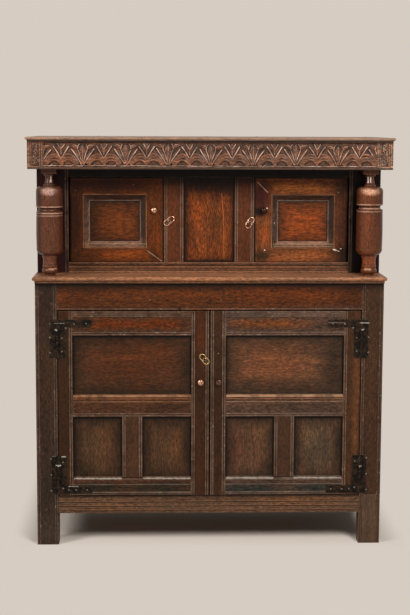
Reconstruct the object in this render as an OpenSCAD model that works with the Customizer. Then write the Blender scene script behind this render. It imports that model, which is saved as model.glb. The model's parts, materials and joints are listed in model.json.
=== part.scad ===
// A joined oak press cupboard in two stages: a lower case with two doors, and a set-back
// upper case with two small doors under a canopy that stands on two turned columns.
// X runs to the right, the front faces -Y, Z is up. The origin is on the floor, at the
// centre of the cupboard's outer box.

/* [Lower case] */
// Width over the corner posts
case_w = 1350; // [1250:5:1450]
// Depth from the face of the posts to the back boards
case_d = 520; // [460:5:580]
// Height of the feet under the bottom rail
foot_h = 127; // [90:1:170]
// Height of the bottom front rail
low_rail_h = 69; // [55:1:85]
// Height of the opening for the lower doors
low_open_h = 736; // [680:2:800]
// Height of the top front rail
high_rail_h = 105; // [80:1:130]
// Width of a front post, seen from the front
post_w = 84; // [76:1:95]
// Thickness of a front post, front to back
post_t = 58; // [50:1:66]
// Side of a square rear post
rear_post = 50; // [44:1:56]
// Thickness of the front rails
front_rail_t = 40; // [36:1:44]
// Thickness of the side and back rails
side_rail_t = 25; // [22:1:28]
// Height of the side rails that meet the feet
side_low_rail_h = 80; // [60:1:95]
// Height of the side rails behind the shelf
side_mid_rail_h = 90; // [70:1:105]
// Height of the side rails under the waist board
side_high_rail_h = 90; // [70:1:105]
// Height of the shelf above the floor boards
shelf_h = 350; // [300:5:390]
// Thickness of the floor and shelf boards
board_t = 14; // [12:1:18]
// Thickness of the back boards
back_t = 12; // [10:1:16]
// Height of the newer wood let into the right front foot
splice_h = 196; // [186:1:200]
// Height at which the let-in foot laps behind the old post
splice_lap = 80; // [50:1:110]

/* [Lower doors] */
// Thickness of a lower door
door_t = 28; // [25:1:30]
// Width of the left door's hinge stile
left_hinge_stile = 57; // [54:1:70]
// Width of the left door's meeting stile
left_meeting_stile = 70; // [60:1:80]
// Width of the right door's hinge stile
right_hinge_stile = 67; // [54:1:74]
// Width of the right door's meeting stile
right_meeting_stile = 61; // [56:1:72]
// Height of a lower door's bottom rail
door_low_rail = 74; // [64:1:84]
// Height of the two small panels
low_panel_h = 240; // [210:1:270]
// Height of the rail between the panels
door_mid_rail = 88; // [76:1:100]
// Height of the wide upper panel
high_panel_h = 232; // [205:1:260]
// Width of the upright between the small panels
door_muntin = 80; // [70:1:90]

/* [Waist board] */
// Thickness of the waist board
waist_t = 25; // [20:1:30]
// How far the waist board stands out in front of the posts
waist_front = 23; // [18:1:28]
// How far the waist board stands out at each side
waist_side = 9; // [6:1:14]

/* [Upper case] */
// How far the upper case stands behind the lower one
recess = 136; // [124:1:150]
// Height of the rail under the upper doors
sill_h = 43; // [36:1:52]
// Height of the opening for the upper doors
up_open_h = 334; // [300:2:360]
// Height of the rail seen above the upper doors
head_h = 35; // [30:1:50]
// Width of an upper front post
up_post_w = 124; // [114:1:134]
// Thickness of the upper front posts
up_post_t = 50; // [44:1:56]
// Thickness of the upper front rails and uprights
up_frame_t = 36; // [34:1:42]
// Width of an upright beside the centre panel
up_muntin = 78; // [70:1:84]
// Width of the fixed centre panel that shows
centre_w = 200; // [180:1:220]
// Height of the upper side rails
up_side_rail_h = 70; // [55:1:85]
// Height of the upper back rail
up_back_rail_h = 60; // [50:1:75]

/* [Upper doors] */
// Thickness of an upper door
up_door_t = 22; // [20:1:25]
// Width of the hinge stile
up_hinge_stile = 52; // [46:1:60]
// Width of the stile with the knob
up_knob_stile = 64; // [56:1:72]
// Height of the door's top rail
up_door_high_rail = 63; // [54:1:72]
// Height of the door's bottom rail
up_door_low_rail = 51; // [44:1:60]
// Width of the sloping moulding round the panel
slope_w = 29; // [22:1:34]

/* [Panels] */
// Thickness of a panel's edge in its groove
panel_edge = 6.6; // [5:0.2:8]
// Thickness of a panel behind its bevels
panel_t = 11; // [9:0.5:13]
// Depth of a panel groove
groove = 9; // [7:0.5:11]
// How far a panel lies behind the face of its frame
panel_set = 10; // [8:0.5:12]

/* [Joints] */
// Thickness of a tenon
tenon_t = 9; // [7:0.5:11]
// Length of a tenon
tenon_l = 32; // [26:1:36]
// Shoulder above and below a tenon
shoulder = 10; // [8:1:14]

/* [Columns] */
// Radius of the two drums
drum_r = 51; // [44:1:54]
// Distance of a column's axis from the side of the case
column_in = 57; // [54:1:60]
// Distance of a column's axis behind the face of the posts
column_back = 32; // [30:1:36]
// Radius of the cushion at the foot
cushion_r = 31; // [27:1:35]
// Radius of the lower neck
low_neck_r = 26; // [22:1:30]
// Radius of the upper neck at its narrowest
high_neck_r = 14; // [13:1:18]
// Radius left at the bottom of the cove between the drums
cove_r = 41; // [36:1:45]
// Height of the left column's cove, at its top, above the waist board
left_cove_up = 265; // [250:1:285]
// Height of the right column's cove, at its top, above the waist board
right_cove_up = 276; // [250:1:285]
// Half the side of the square cap
cap_half = 29; // [26:1:32]
// Height of the square cap
cap_h = 18; // [14:1:22]
// Radius of the round pegs at the ends of a column
column_peg_r = 11; // [9:1:13]

/* [Canopy] */
// Height of the carved frieze
frieze_h = 109; // [96:1:120]
// Thickness of the frieze board
frieze_t = 24; // [20:1:28]
// How far the frieze stands in front of the lower posts
frieze_front = 30; // [24:1:36]
// How far the frieze stands out at each side
frieze_side = 21; // [18:1:26]
// Width of an end block of the frieze
end_block_w = 63; // [56:1:70]
// Depth of an end block
end_block_d = 84; // [76:1:92]
// Thickness of the boards under the canopy
soffit_t = 14; // [12:1:18]
// Thickness of the top boards
top_t = 12; // [10:1:18]
// How far the top stands out in front of the frieze
top_front = 10; // [6:1:16]
// How far the top stands out past the frieze at each side
top_side = 8; // [5:1:12]
// How far the top stands out behind the back boards
top_back = 6; // [3:1:12]

/* [Ironwork and brass] */
// Diameter of a hinge pin
hinge_pin_d = 5; // [4:0.5:6]
// Radius of a hinge knuckle
knuckle_r = 6; // [5:0.5:7]
// Thickness of a hinge plate
leaf_t = 2.5; // [2:0.1:3]
// Height of a hinge plate
leaf_h = 152; // [130:1:170]
// Height of a hinge barrel
barrel_h = 73; // [60:1:84]
// Width of the plate on the post
post_leaf_w = 28; // [24:1:32]
// Width of the plate on the door
door_leaf_w = 30; // [26:1:34]
// Length of the strap along the door's rail
strap_l = 132; // [110:1:150]
// Height of the strap
strap_h = 31; // [26:1:34]
// Distance of the upper hinge plate from the top of the door
hinge_down = 33; // [28:1:42]
// Distance of the lower hinge plate from the bottom of the door
hinge_up = 7; // [4:1:14]
// Diameter of the iron pins on which the upper doors turn
pivot_d = 8; // [6:0.5:9]
// Diameter of a knob
knob_d = 25; // [22:1:28]
// How far a knob stands out
knob_out = 22; // [20:1:26]
// Height of the lower knobs above the bottom rail
low_knob_up = 453; // [430:1:480]
// Distance of a lower knob from the edge of its door
low_knob_in = 33; // [28:1:40]
// Height of the upper knobs above the sill
up_knob_up = 204; // [180:1:230]
// Distance of an upper knob from the edge of its door
up_knob_in = 36; // [28:1:42]
// Length of a turn button
button_l = 50; // [46:1:52]
// Width of a turn button
button_w = 25; // [22:1:27]
// Thickness of a turn button's ring
button_bar = 4.6; // [4:0.2:5]
// Height of the lower turn button above the bottom rail
low_button_up = 543; // [520:1:570]
// Tilt of the lower turn button at rest
low_button_tilt = -51; // [-90:1:90]
// Height of the upper left turn button above the sill
up_left_button_up = 162; // [130:1:180]
// Tilt of the upper left turn button at rest
up_left_tilt = 38; // [-90:1:90]
// Height of the upper right turn button above the sill
up_right_button_up = 156; // [130:1:180]
// Tilt of the upper right turn button at rest
up_right_tilt = 60; // [-90:1:90]
// Diameter of the screw on which a button turns
screw_d = 4; // [3:0.5:5]

/* [Mouldings] */
// Width of one scratched bead
bead_w = 7; // [6:0.5:8]
// Depth of the quirks beside a bead
bead_sink = 2.4; // [1.6:0.2:2.8]
// Height of the chamfer on a rail under a panel
chamfer_h = 10; // [8:1:12]

/* [Clearances] */
// Play of a tenon, a tongue or a fixed pin in its hole
fit = 0.2; // [0.1:0.05:0.3]
// Gap between two boards or two mitres that lie side by side
seam = 0.3; // [0.2:0.1:0.5]
// Gap round a door
door_gap = 2; // [1.2:0.1:3]
// Gap above the lower doors, which have dropped a little
dropped_gap = 4; // [2:0.1:6]
// Gap between the two lower doors
meeting_gap = 4; // [2.4:0.1:5]
// Play of a turning pin, measured on the radius
turning = 0.05; // [0.03:0.01:0.08]
// Gap under a piece that turns on a face
lift = 0.6; // [0.4:0.1:1]

/* [Hidden] */
$fn = 48;

// Heights, from the floor up
z_low_open = foot_h + low_rail_h;
z_low_head = z_low_open + low_open_h;
z_waist = z_low_head + high_rail_h;
z_stage = z_waist + waist_t;
z_sill = z_stage + sill_h;
z_head = z_sill + up_open_h;
z_frieze = z_head + head_h;
z_top = z_frieze + frieze_h;
z_floor = z_low_open + board_t;
z_shelf = z_floor + shelf_h;

// Depths, from the front to the back
box_d = top_front + frieze_front + case_d + top_back;
y_top = -box_d / 2;
y_frieze = y_top + top_front;
y_case = y_frieze + frieze_front;
y_upper = y_case + recess;
y_back = y_case + case_d;
y_boards = y_back - back_t;
y_rear = y_boards - rear_post;

// Widths, from the centre line out
x_case = case_w / 2;
x_open = x_case - post_w;
x_up_post = x_case - up_post_w;
x_centre = centre_w / 2;
x_muntin = x_centre + up_muntin;
x_inside = x_case - side_rail_t;
x_frieze = x_case + frieze_side;
x_block = x_frieze - end_block_w;

// Lower doors: outer edges, and the axis of the surface hinges in front of the gap
door_x0 = -x_open + door_gap;
door_x1 = -meeting_gap / 2;
door_z0 = z_low_open + door_gap;
door_z1 = z_low_head - dropped_gap;
hinge_x = -x_open + door_gap / 2;
hinge_y = y_case - knuckle_r - fit;

// Rails of a lower door, from the bottom up
low_panel_z = door_z0 + door_low_rail;
mid_rail_z = low_panel_z + low_panel_h;
high_panel_z = mid_rail_z + door_mid_rail;
high_rail_z = high_panel_z + high_panel_h;

// Upper doors: outer edges, panel opening, and the axis of the pins
up_x0 = -x_up_post + door_gap;
up_x1 = -x_muntin - door_gap;
up_z0 = z_sill + door_gap;
up_z1 = z_head - door_gap;
up_in = [up_x0 + up_hinge_stile, up_x1 - up_knob_stile, up_z0 + up_door_low_rail, up_z1 - up_door_high_rail];
pivot_x = up_x0 + up_door_t / 2;
pivot_y = y_upper + up_door_t / 2;
pivot_in = 28;

// Side frames
side_y0 = y_case + post_t;
side_rails = [
    [foot_h, foot_h + side_low_rail_h],
    [z_shelf - side_mid_rail_h / 2 - board_t, z_shelf + side_mid_rail_h / 2 - board_t],
    [z_waist - side_high_rail_h, z_waist]
];
up_side_y0 = y_upper + up_post_t;
up_side_rails = [
    [z_stage, z_stage + up_side_rail_h],
    [z_frieze - up_side_rail_h, z_frieze]
];
x_side_mid = x_case - side_rail_t / 2;
y_side_back = y_boards - side_rail_t;
y_back_mid = y_boards - side_rail_t / 2;
y_front_mid = y_case + front_rail_t / 2;
y_up_mid = y_upper + up_frame_t / 2;

// Columns
column_x = x_case - column_in;
column_y = y_case + column_back;
column_peg_l = 10;

// Places of the knobs and turn buttons
low_knob_z = z_low_open + low_knob_up;
up_knob_z = z_sill + up_knob_up;
button_axis_y = button_bar / 2 + lift;

// How far inside the edge of its upright a button at this tilt just clears the door
function button_clear(tilt) =
    button_w / 2 + (button_l - button_w) / 2 * cos(tilt) - door_gap + lift;

low_button = [door_x1 - button_clear(low_button_tilt), z_low_open + low_button_up];
up_left_button = [-x_muntin + button_clear(up_left_tilt), z_sill + up_left_button_up];
up_right_button = [x_muntin - button_clear(up_right_tilt), z_sill + up_right_button_up];
button_hub_r = 5.6;
screw_l = 18;

oak = [0.33, 0.18, 0.11];
dark_oak = [0.22, 0.13, 0.09];
red_oak = [0.42, 0.21, 0.10];
pale_oak = [0.52, 0.34, 0.20];
hidden_oak = [0.45, 0.33, 0.22];
iron = [0.20, 0.19, 0.19];
brass = [0.62, 0.42, 0.25];

// Placing helpers

// A box between its lowest and its highest corner
module block(a, b) {
    translate(a) cube([b[0] - a[0], b[1] - a[1], b[2] - a[2]]);
}

// Children at the left, and their mirror image at the right
module both_sides() {
    children();
    mirror([1, 0, 0]) children();
}

// A section drawn in y and z, run along x
module along_x(x0, x1) {
    translate([x0, 0, 0]) rotate([90, 0, 90]) linear_extrude(x1 - x0) children();
}

// A section drawn in x and z, run along y
module along_y(y0, y1) {
    translate([0, y1, 0]) rotate([90, 0, 0]) linear_extrude(y1 - y0) children();
}

// A section drawn in x and y, run along z
module along_z(z0, z1) {
    translate([0, 0, z0]) linear_extrude(z1 - z0) children();
}

// Sections are drawn across the member in x and into the wood in y, from the face at y = 0

// What a scratch stock takes away to leave a row of beads along the edge
module bead_cut(count) {
    difference() {
        translate([-1, -1]) square([count * bead_w + 1, bead_sink + 1]);
        for (i = [0:count - 1]) translate([(i + 0.5) * bead_w, bead_w / 2]) circle(d = bead_w);
    }
}

// A plain chamfer along the edge
module chamfer_cut() {
    depth = panel_set - 1;
    polygon([[chamfer_h, 0], [0, depth], [-1, depth], [-1, -1], [chamfer_h, -1]]);
}

// The groove for a panel
module groove_cut() {
    translate([-1, panel_set]) square([groove + 1, panel_edge + fit]);
}

// A framing member: "bead", "chamfer" or "plain" at its two edges, grooved where a panel enters
module member(w, t, low = "plain", high = "plain", low_groove = false, high_groove = false) {
    difference() {
        square([w, t]);
        if (low == "bead") bead_cut(2);
        if (low == "chamfer") chamfer_cut();
        if (low_groove) groove_cut();
        translate([w, 0]) mirror([1, 0]) {
            if (high == "bead") bead_cut(2);
            if (high == "chamfer") chamfer_cut();
            if (high_groove) groove_cut();
        }
    }
}

// An upright with its outer face at y
module upright(x, y, z0, z1, w, t, low = "plain", high = "plain", low_groove = false, high_groove = false) {
    along_z(z0, z1) translate([x, y]) member(w, t, low, high, low_groove, high_groove);
}

// A level rail with its outer face at y
module level(x0, x1, y, z, h, t, low = "plain", high = "plain", low_groove = false, high_groove = false) {
    along_x(x0, x1) translate([y, z]) mirror([1, -1]) member(h, t, low, high, low_groove, high_groove);
}

// Tenons, and with play = fit the mortises that take them

// Along x, from the shoulder at x towards dir
module tenon_x(x, dir, y_mid, z0, z1, play = 0, length = tenon_l) {
    a = dir > 0 ? x - 1 : x - length - play;
    b = dir > 0 ? x + length + play : x + 1;
    block(
        [a, y_mid - tenon_t / 2 - play, z0 + shoulder - play],
        [b, y_mid + tenon_t / 2 + play, z1 - shoulder + play]
    );
}

// Along y, from the shoulder at y towards dir
module tenon_y(y, dir, x_mid, z0, z1, play = 0) {
    a = dir > 0 ? y - 1 : y - tenon_l - play;
    b = dir > 0 ? y + tenon_l + play : y + 1;
    block(
        [x_mid - tenon_t / 2 - play, a, z0 + shoulder - play],
        [x_mid + tenon_t / 2 + play, b, z1 - shoulder + play]
    );
}

// Along z, from the shoulder at z towards dir
module tenon_z(z, dir, y_mid, x0, x1, play = 0, length = tenon_l) {
    a = dir > 0 ? z - 1 : z - length - play;
    b = dir > 0 ? z + length + play : z + 1;
    block(
        [x0 + shoulder - play, y_mid - tenon_t / 2 - play, a],
        [x1 - shoulder + play, y_mid + tenon_t / 2 + play, b]
    );
}

// A level panel in the x-z plane: flat in front, bevelled behind to fit its grooves
module panel(x0, x1, z0, z1, y) {
    e = groove - seam;
    bevel = 22;
    section = [
        [0, 0], [0, panel_edge], [bevel, panel_edge], [bevel + panel_t - panel_edge, panel_t]
    ];
    intersection() {
        along_x(x0 - e, x1 + e) translate([y, z0 - e]) mirror([1, -1])
            polygon(concat(section, mirrored(section, z1 - z0 + 2 * e)));
        along_z(z0 - e, z1 + e) translate([x0 - e, y])
            polygon(concat(section, mirrored(section, x1 - x0 + 2 * e)));
    }
}

// The points of a profile seen from its other end, in the order that closes it
function mirrored(points, w) = [for (i = [len(points) - 1:-1:0]) [w - points[i][0], points[i][1]]];

// Lower case

module front_post_left() {
    color(oak) post_with_joints(0);
}

module front_post_right() {
    color(oak) difference() {
        mirror([1, 0, 0]) post_with_joints(0);
        foot_splice(seam);
    }
}

// The left front post, with the mortises of its rails
module post_with_joints(z0) {
    difference() {
        upright(-x_case, y_case, z0, z_waist, post_w, post_t, "bead", "bead");
        tenon_x(-x_open, -1, y_front_mid, foot_h, z_low_open, fit);
        tenon_x(-x_open, -1, y_front_mid, z_low_head, z_waist, fit);
        for (r = side_rails) tenon_y(side_y0, -1, -x_side_mid, r[0], r[1], fit);
        side_groove(side_y0, -1, side_rails[0][1], side_rails[2][0]);
    }
}

// The groove for the side panels between heights z0 and z1, cut into a post at y towards dir
module side_groove(y, dir, z0, z1) {
    a = dir > 0 ? y - 1 : y - groove;
    b = dir > 0 ? y + groove : y + 1;
    x = -x_case + panel_set;
    block([x, a, z0 - groove], [x + panel_edge + fit, b, z1 + groove]);
}

// Newer wood scarfed to the right front post: full height in front, low behind
module foot_splice(play = 0) {
    half = y_case + post_t * 0.52;
    block([x_open - 1, y_case - 1, -1], [x_case + 1, half + play, splice_h + play]);
    block([x_open - 1, half, -1], [x_case + 1, y_case + post_t + 1, splice_lap + play]);
}

module spliced_foot_right() {
    color(red_oak) intersection() {
        mirror([1, 0, 0]) post_with_joints(0);
        foot_splice();
    }
}

module rear_posts() {
    color(hidden_oak) both_sides() difference() {
        block([-x_case, y_rear, 0], [-x_case + rear_post, y_boards, z_waist]);
        for (r = side_rails) tenon_y(y_rear, 1, -x_side_mid, r[0], r[1], fit);
        for (r = lower_back_rails)
            tenon_x(-x_case + rear_post, -1, y_back_mid, r[0], r[1], fit, back_tenon_l);
        side_groove(y_rear, 1, side_rails[0][1], side_rails[2][0]);
    }
}

// Rails between the rear posts
lower_back_rails = [[foot_h, z_low_open], [z_waist - side_high_rail_h, z_waist]];
upper_back_rail = [z_top - up_back_rail_h, z_top];
back_tenon_l = rear_post - side_rail_t / 2 - tenon_t / 2 - 3;

module lower_top_rail() {
    color(oak) {
        level(-x_open, x_open, y_case, z_low_head, high_rail_h, front_rail_t, "bead", "plain");
        both_sides() tenon_x(-x_open, -1, y_front_mid, z_low_head, z_waist);
    }
}

module lower_bottom_rail() {
    line = 2.2;
    color(red_oak) {
        difference() {
            level(-x_open, x_open, y_case, foot_h, low_rail_h, front_rail_t);
            for (z = [0.38, 0.62])
                along_x(-x_open - 1, x_open + 1) translate([y_case, foot_h + low_rail_h * z]) circle(line);
        }
        both_sides() tenon_x(-x_open, -1, y_front_mid, foot_h, z_low_open);
    }
}

module lower_side_rails() {
    color(dark_oak) both_sides() for (i = [0:2]) {
        r = side_rails[i];
        difference() {
            along_y(side_y0, y_rear) translate([-x_case, r[0]]) square([side_rail_t, r[1] - r[0]]);
            if (i > 0) rail_groove(side_y0, y_rear, r[0], -1);
            if (i < 2) rail_groove(side_y0, y_rear, r[1], 1);
        }
        tenon_y(side_y0, -1, -x_side_mid, r[0], r[1]);
        tenon_y(y_rear, 1, -x_side_mid, r[0], r[1]);
    }
}

// The groove for a side panel, in the edge of a side rail at height z; dir points to the panel
module rail_groove(y0, y1, z, dir) {
    x = -x_case + panel_set;
    a = dir > 0 ? z - groove : z - 1;
    b = dir > 0 ? z + 1 : z + groove;
    block([x, y0 - 1, a], [x + panel_edge + fit, y1 + 1, b]);
}

// A plain riven panel in a side frame
module side_panel(y0, y1, z0, z1) {
    e = groove - seam;
    x = -x_case + panel_set + fit / 2;
    block([x, y0 - e, z0 - e], [x + panel_edge, y1 + e, z1 + e]);
}

module lower_side_panels() {
    color(oak) both_sides() {
        side_panel(side_y0, y_rear, side_rails[0][1], side_rails[1][0]);
        side_panel(side_y0, y_rear, side_rails[1][1], side_rails[2][0]);
    }
}

module back_rails() {
    x = x_case - rear_post;
    color(hidden_oak) for (r = concat(lower_back_rails, [upper_back_rail])) {
        block([-x, y_side_back, r[0]], [x, y_boards, r[1]]);
        both_sides() tenon_x(-x, -1, y_back_mid, r[0], r[1], 0, back_tenon_l);
    }
}

// Level boards nailed over the rear posts
module back_boards(z0, z1, count) {
    h = (z1 - z0 - seam * (count - 1)) / count;
    for (i = [0:count - 1]) {
        z = z0 + i * (h + seam);
        block([-x_case, y_boards, z], [x_case, y_back, z + h]);
    }
}

module lower_back_boards() {
    color(hidden_oak) back_boards(foot_h, z_waist, 4);
}

// Boards along x that are cut round the posts and lie between the side frames
module inner_boards(y0, z0, z1, count) {
    w = (y_boards - y0 - seam * (count - 1)) / count;
    x = x_inside - seam;
    play = 1;
    for (i = [0:count - 1]) {
        y = y0 + i * (w + seam);
        difference() {
            block([-x, y, z0], [x, y + w, z1]);
            both_sides() {
                block([-x_case, y_case, z0 - 1], [-x_open + play, side_y0 + play, z1 + 1]);
                block([-x_case, y_rear - play, z0 - 1], [-x_case + rear_post + play, y_back, z1 + 1]);
            }
        }
    }
}

module floor_boards() {
    color(hidden_oak) inner_boards(y_case + door_t + seam, z_low_open, z_floor, 3);
}

module shelf_boards() {
    color(hidden_oak) inner_boards(side_y0 + 4, z_shelf - board_t, z_shelf, 2);
}

// Strips nailed to the side frames, under the floor and the shelf
module bearers() {
    w = 24;
    h = 30;
    color(hidden_oak) both_sides() for (z = [z_low_open, z_shelf - board_t])
        block([-x_inside, side_y0, z - h], [-x_inside + w, y_rear, z]);
}

module waist_board() {
    nose = waist_t * 0.64;
    color(pale_oak) difference() {
        moulded_board(x_case + waist_side, y_case - waist_front, y_back, z_waist, z_stage, nose);
        both_sides() column_peg(z_stage - column_peg_l, z_stage + 1, fit);
    }
}

// A board with a round nose over a smaller fillet, at its front and both ends
module moulded_board(x, y0, y1, z0, z1, nose) {
    intersection() {
        along_x(-x - 1, x + 1) translate([y0, z1]) nosed_section(y1 - y0, z1 - z0, nose);
        along_y(y0 - 1, y1 + 1) translate([-x, z1]) {
            nosed_section(x, z1 - z0, nose);
            translate([2 * x, 0]) mirror([1, 0]) nosed_section(x, z1 - z0, nose);
        }
    }
}

// Drawn down from the board's top and in from its edge
module nosed_section(length, t, nose) {
    back_step = nose * 0.55;
    translate([nose / 2, -nose / 2]) circle(d = nose);
    translate([nose / 2, -nose]) square([length - nose / 2, nose]);
    if (t > nose) translate([back_step, -t]) square([length - back_step, t - nose + 0.01]);
}

// Upper case

module upper_posts() {
    color(dark_oak) both_sides() difference() {
        upright(-x_case, y_upper, z_stage, z_top, up_post_w, up_post_t, "plain", "bead");
        tenon_x(-x_up_post, -1, y_up_mid, z_stage, z_sill, fit);
        tenon_x(-x_up_post, -1, y_up_mid, z_head, z_top, fit);
        for (r = up_side_rails) tenon_y(up_side_y0, -1, -x_side_mid, r[0], r[1], fit);
        side_groove(up_side_y0, -1, up_side_rails[0][1], up_side_rails[1][0]);
    }
}

module upper_rear_posts() {
    r = upper_back_rail;
    color(hidden_oak) both_sides() difference() {
        block([-x_case, y_rear, z_stage], [-x_case + rear_post, y_boards, z_top]);
        for (s = up_side_rails) tenon_y(y_rear, 1, -x_side_mid, s[0], s[1], fit);
        tenon_x(-x_case + rear_post, -1, y_back_mid, r[0], r[1], fit, back_tenon_l);
        side_groove(y_rear, 1, up_side_rails[0][1], up_side_rails[1][0]);
    }
}

// The pin of the left upper door, and with play its hole
module pivot_pin(z0, z1, play = 0) {
    translate([pivot_x, pivot_y, z0]) cylinder(h = z1 - z0, d = pivot_d + 2 * play);
}

pivot_fixed = 18;

module upper_head_rail() {
    color(dark_oak) {
        difference() {
            level(-x_up_post, x_up_post, y_upper, z_head, z_top - z_head, up_frame_t);
            centre_groove(z_head, 1);
            both_sides() {
                pivot_pin(z_head - 1, z_head + pivot_fixed, fit / 2);
                tenon_z(z_head, 1, y_up_mid, -x_muntin, -x_centre, fit, up_tenon_l);
            }
        }
        both_sides() tenon_x(-x_up_post, -1, y_up_mid, z_head, z_top);
    }
}

up_tenon_l = min(head_h, sill_h) - 12;

module upper_sill_rail() {
    line = 2;
    color(oak) {
        difference() {
            level(-x_up_post, x_up_post, y_upper, z_stage, sill_h, up_frame_t, "plain", "bead");
            for (z = [0.22, 0.42])
                along_x(-x_up_post - 1, x_up_post + 1)
                    translate([y_upper, z_stage + sill_h * z]) circle(line);
            centre_groove(z_sill, -1);
            both_sides() {
                pivot_pin(z_sill - pivot_fixed, z_sill + 1, fit / 2);
                tenon_z(z_sill, -1, y_up_mid, -x_muntin, -x_centre, fit, up_tenon_l);
            }
        }
        both_sides() tenon_x(-x_up_post, -1, y_up_mid, z_stage, z_sill);
    }
}

// The groove for the ends of the centre panel, at height z towards dir
module centre_groove(z, dir) {
    a = dir > 0 ? z - 1 : z - groove;
    b = dir > 0 ? z + groove : z + 1;
    block(
        [-x_centre - groove, y_upper + panel_set, a],
        [x_centre + groove, y_upper + panel_set + panel_edge + fit, b]
    );
}

module upper_muntins() {
    color(oak) difference() {
        both_sides() {
            upright(-x_muntin, y_upper, z_sill, z_head, up_muntin, up_frame_t, "bead", "bead", false, true);
            tenon_z(z_sill, -1, y_up_mid, -x_muntin, -x_centre, 0, up_tenon_l);
            tenon_z(z_head, 1, y_up_mid, -x_muntin, -x_centre, 0, up_tenon_l);
        }
        for (b = [up_left_button, up_right_button]) button_screw_shank(b, y_upper, fit / 2);
    }
}

module centre_panel() {
    color(red_oak) panel(-x_centre, x_centre, z_sill, z_head, y_upper + panel_set + fit / 2);
}

module upper_side_rails() {
    color(dark_oak) both_sides() for (i = [0:1]) {
        r = up_side_rails[i];
        difference() {
            block([-x_case, up_side_y0, r[0]], [-x_inside, y_rear, r[1]]);
            rail_groove(up_side_y0, y_rear, r[1 - i], i == 0 ? 1 : -1);
        }
        tenon_y(up_side_y0, -1, -x_side_mid, r[0], r[1]);
        tenon_y(y_rear, 1, -x_side_mid, r[0], r[1]);
    }
}

module upper_side_panels() {
    color(oak) both_sides() side_panel(up_side_y0, y_rear, up_side_rails[0][1], up_side_rails[1][0]);
}

module upper_back_boards() {
    color(hidden_oak) back_boards(z_stage, z_top, 3);
}

// Strips that the doors close against: one under the top front rail, two beside the uprights
module door_stops() {
    w = 12;
    end_room = 40;
    color(hidden_oak) {
        block(
            [-x_open + end_room, y_case + door_t + seam, z_low_head - w],
            [x_open - end_room, y_case + front_rail_t, z_low_head]
        );
        both_sides() block(
            [-x_muntin - w, y_upper + up_door_t + seam, z_sill],
            [-x_muntin, y_upper + up_frame_t, z_head]
        );
    }
}

// Columns

// Round peg of the left column, and with play its hole
module column_peg(z0, z1, play = 0) {
    translate([-column_x, column_y, z0]) cylinder(h = z1 - z0, r = column_peg_r + play);
}

// Half the turned outline, in radius and height above the waist board. The forms at the foot
// start where the one before them ends, and those at the top hang from the cap. The cove was
// cut at another height on each column, and the two drums take what is left over.
module turned_outline(cove_up) {
    foot = 7;
    cushion = 27;
    ring = 8;
    neck = 31;
    curve = drum_r - low_neck_r - 1;
    bands = 16;
    line = 0.5;
    cove = 18;
    dome = 17;
    collar = 8;
    high_neck = 33;
    fillet = 8;
    z_cushion = foot;
    z_ring = z_cushion + cushion;
    z_neck = z_ring + ring;
    z_collar = z_neck + neck;
    z_curve = z_collar + ring;
    z_drum = z_curve + curve;
    z_cap = z_frieze - z_stage - cap_h;
    z_fillet = z_cap - fillet;
    z_high_neck = z_fillet - high_neck;
    z_high_collar = z_high_neck - collar;
    z_dome = z_high_collar - dome;
    z_cove = cove_up - cove;
    z_bands = z_cove - bands;

    square([cushion_r * 0.7, z_cushion + 1]);
    translate([cushion_r - cushion / 2, z_cushion + cushion / 2]) circle(d = cushion);
    translate([0, z_cushion]) square([cushion_r - cushion / 2, cushion]);
    translate([0, z_ring]) square([low_neck_r + 2, ring]);
    waisted(low_neck_r, z_neck, z_collar, 2);
    translate([0, z_collar]) square([low_neck_r + 3, ring]);
    // the lower drum rises from a quarter round and swells a little
    intersection() {
        translate([drum_r - curve, z_drum]) circle(r = curve);
        translate([0, z_curve]) square([drum_r, curve]);
    }
    translate([0, z_curve]) square([drum_r - curve, curve]);
    swelled(drum_r - line, z_drum, z_bands, 2 * line);
    // two thin bands, each with a quirk under it
    difference() {
        translate([0, z_bands]) square([drum_r, bands]);
        for (z = [z_bands + 2, z_bands + bands / 2]) translate([drum_r, z]) circle(r = 3 * line);
    }
    difference() {
        translate([0, z_cove - 1]) square([drum_r - line, cove + 2]);
        translate([cove_r + cove / 2 - line, z_cove + cove / 2]) circle(r = cove / 2 - line);
    }
    translate([0, cove_up]) square([drum_r, z_dome - cove_up]);
    intersection() {
        translate([drum_r - dome, z_dome]) circle(r = dome);
        translate([0, z_dome]) square([drum_r, dome]);
    }
    translate([0, z_dome]) square([drum_r - dome, dome]);
    translate([0, z_high_collar]) square([high_neck_r + 8, collar]);
    // a bell that is narrowest close under its fillet
    waisted(high_neck_r, z_high_neck, z_cap + fillet, 6);
    translate([0, z_fillet]) square([high_neck_r + 6, fillet + 1]);
}

// A straight stretch that swells by bulge at its middle
module swelled(r, z0, z1, bulge) {
    half = (z1 - z0) / 2;
    big = (half * half + bulge * bulge) / (2 * bulge);
    intersection() {
        translate([r + bulge - big, z0 + half]) circle(r = big, $fn = 720);
        translate([0, z0]) square([r + 2 * bulge, z1 - z0]);
    }
}

// A stretch that is drawn in by dip at its middle and flares at both ends
module waisted(r, z0, z1, dip) {
    half = (z1 - z0) / 2;
    big = (half * half + dip * dip) / (2 * dip);
    difference() {
        translate([0, z0]) square([r + dip / 2, z1 - z0]);
        translate([r + big, z0 + half]) circle(r = big, $fn = 180);
    }
}

module column(cove_up) {
    translate([-column_x, column_y, z_stage]) rotate_extrude($fn = 96) turned_outline(cove_up);
    block(
        [-column_x - cap_half, column_y - cap_half, z_frieze - cap_h],
        [-column_x + cap_half, column_y + cap_half, z_frieze]
    );
    column_peg(z_stage - column_peg_l, z_stage + 1);
    column_peg(z_frieze - 1, z_frieze + column_peg_l);
}

module column_left() {
    color(red_oak) column(left_cove_up);
}

module column_right() {
    color(red_oak) mirror([1, 0, 0]) column(right_cove_up);
}

// Canopy

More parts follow.
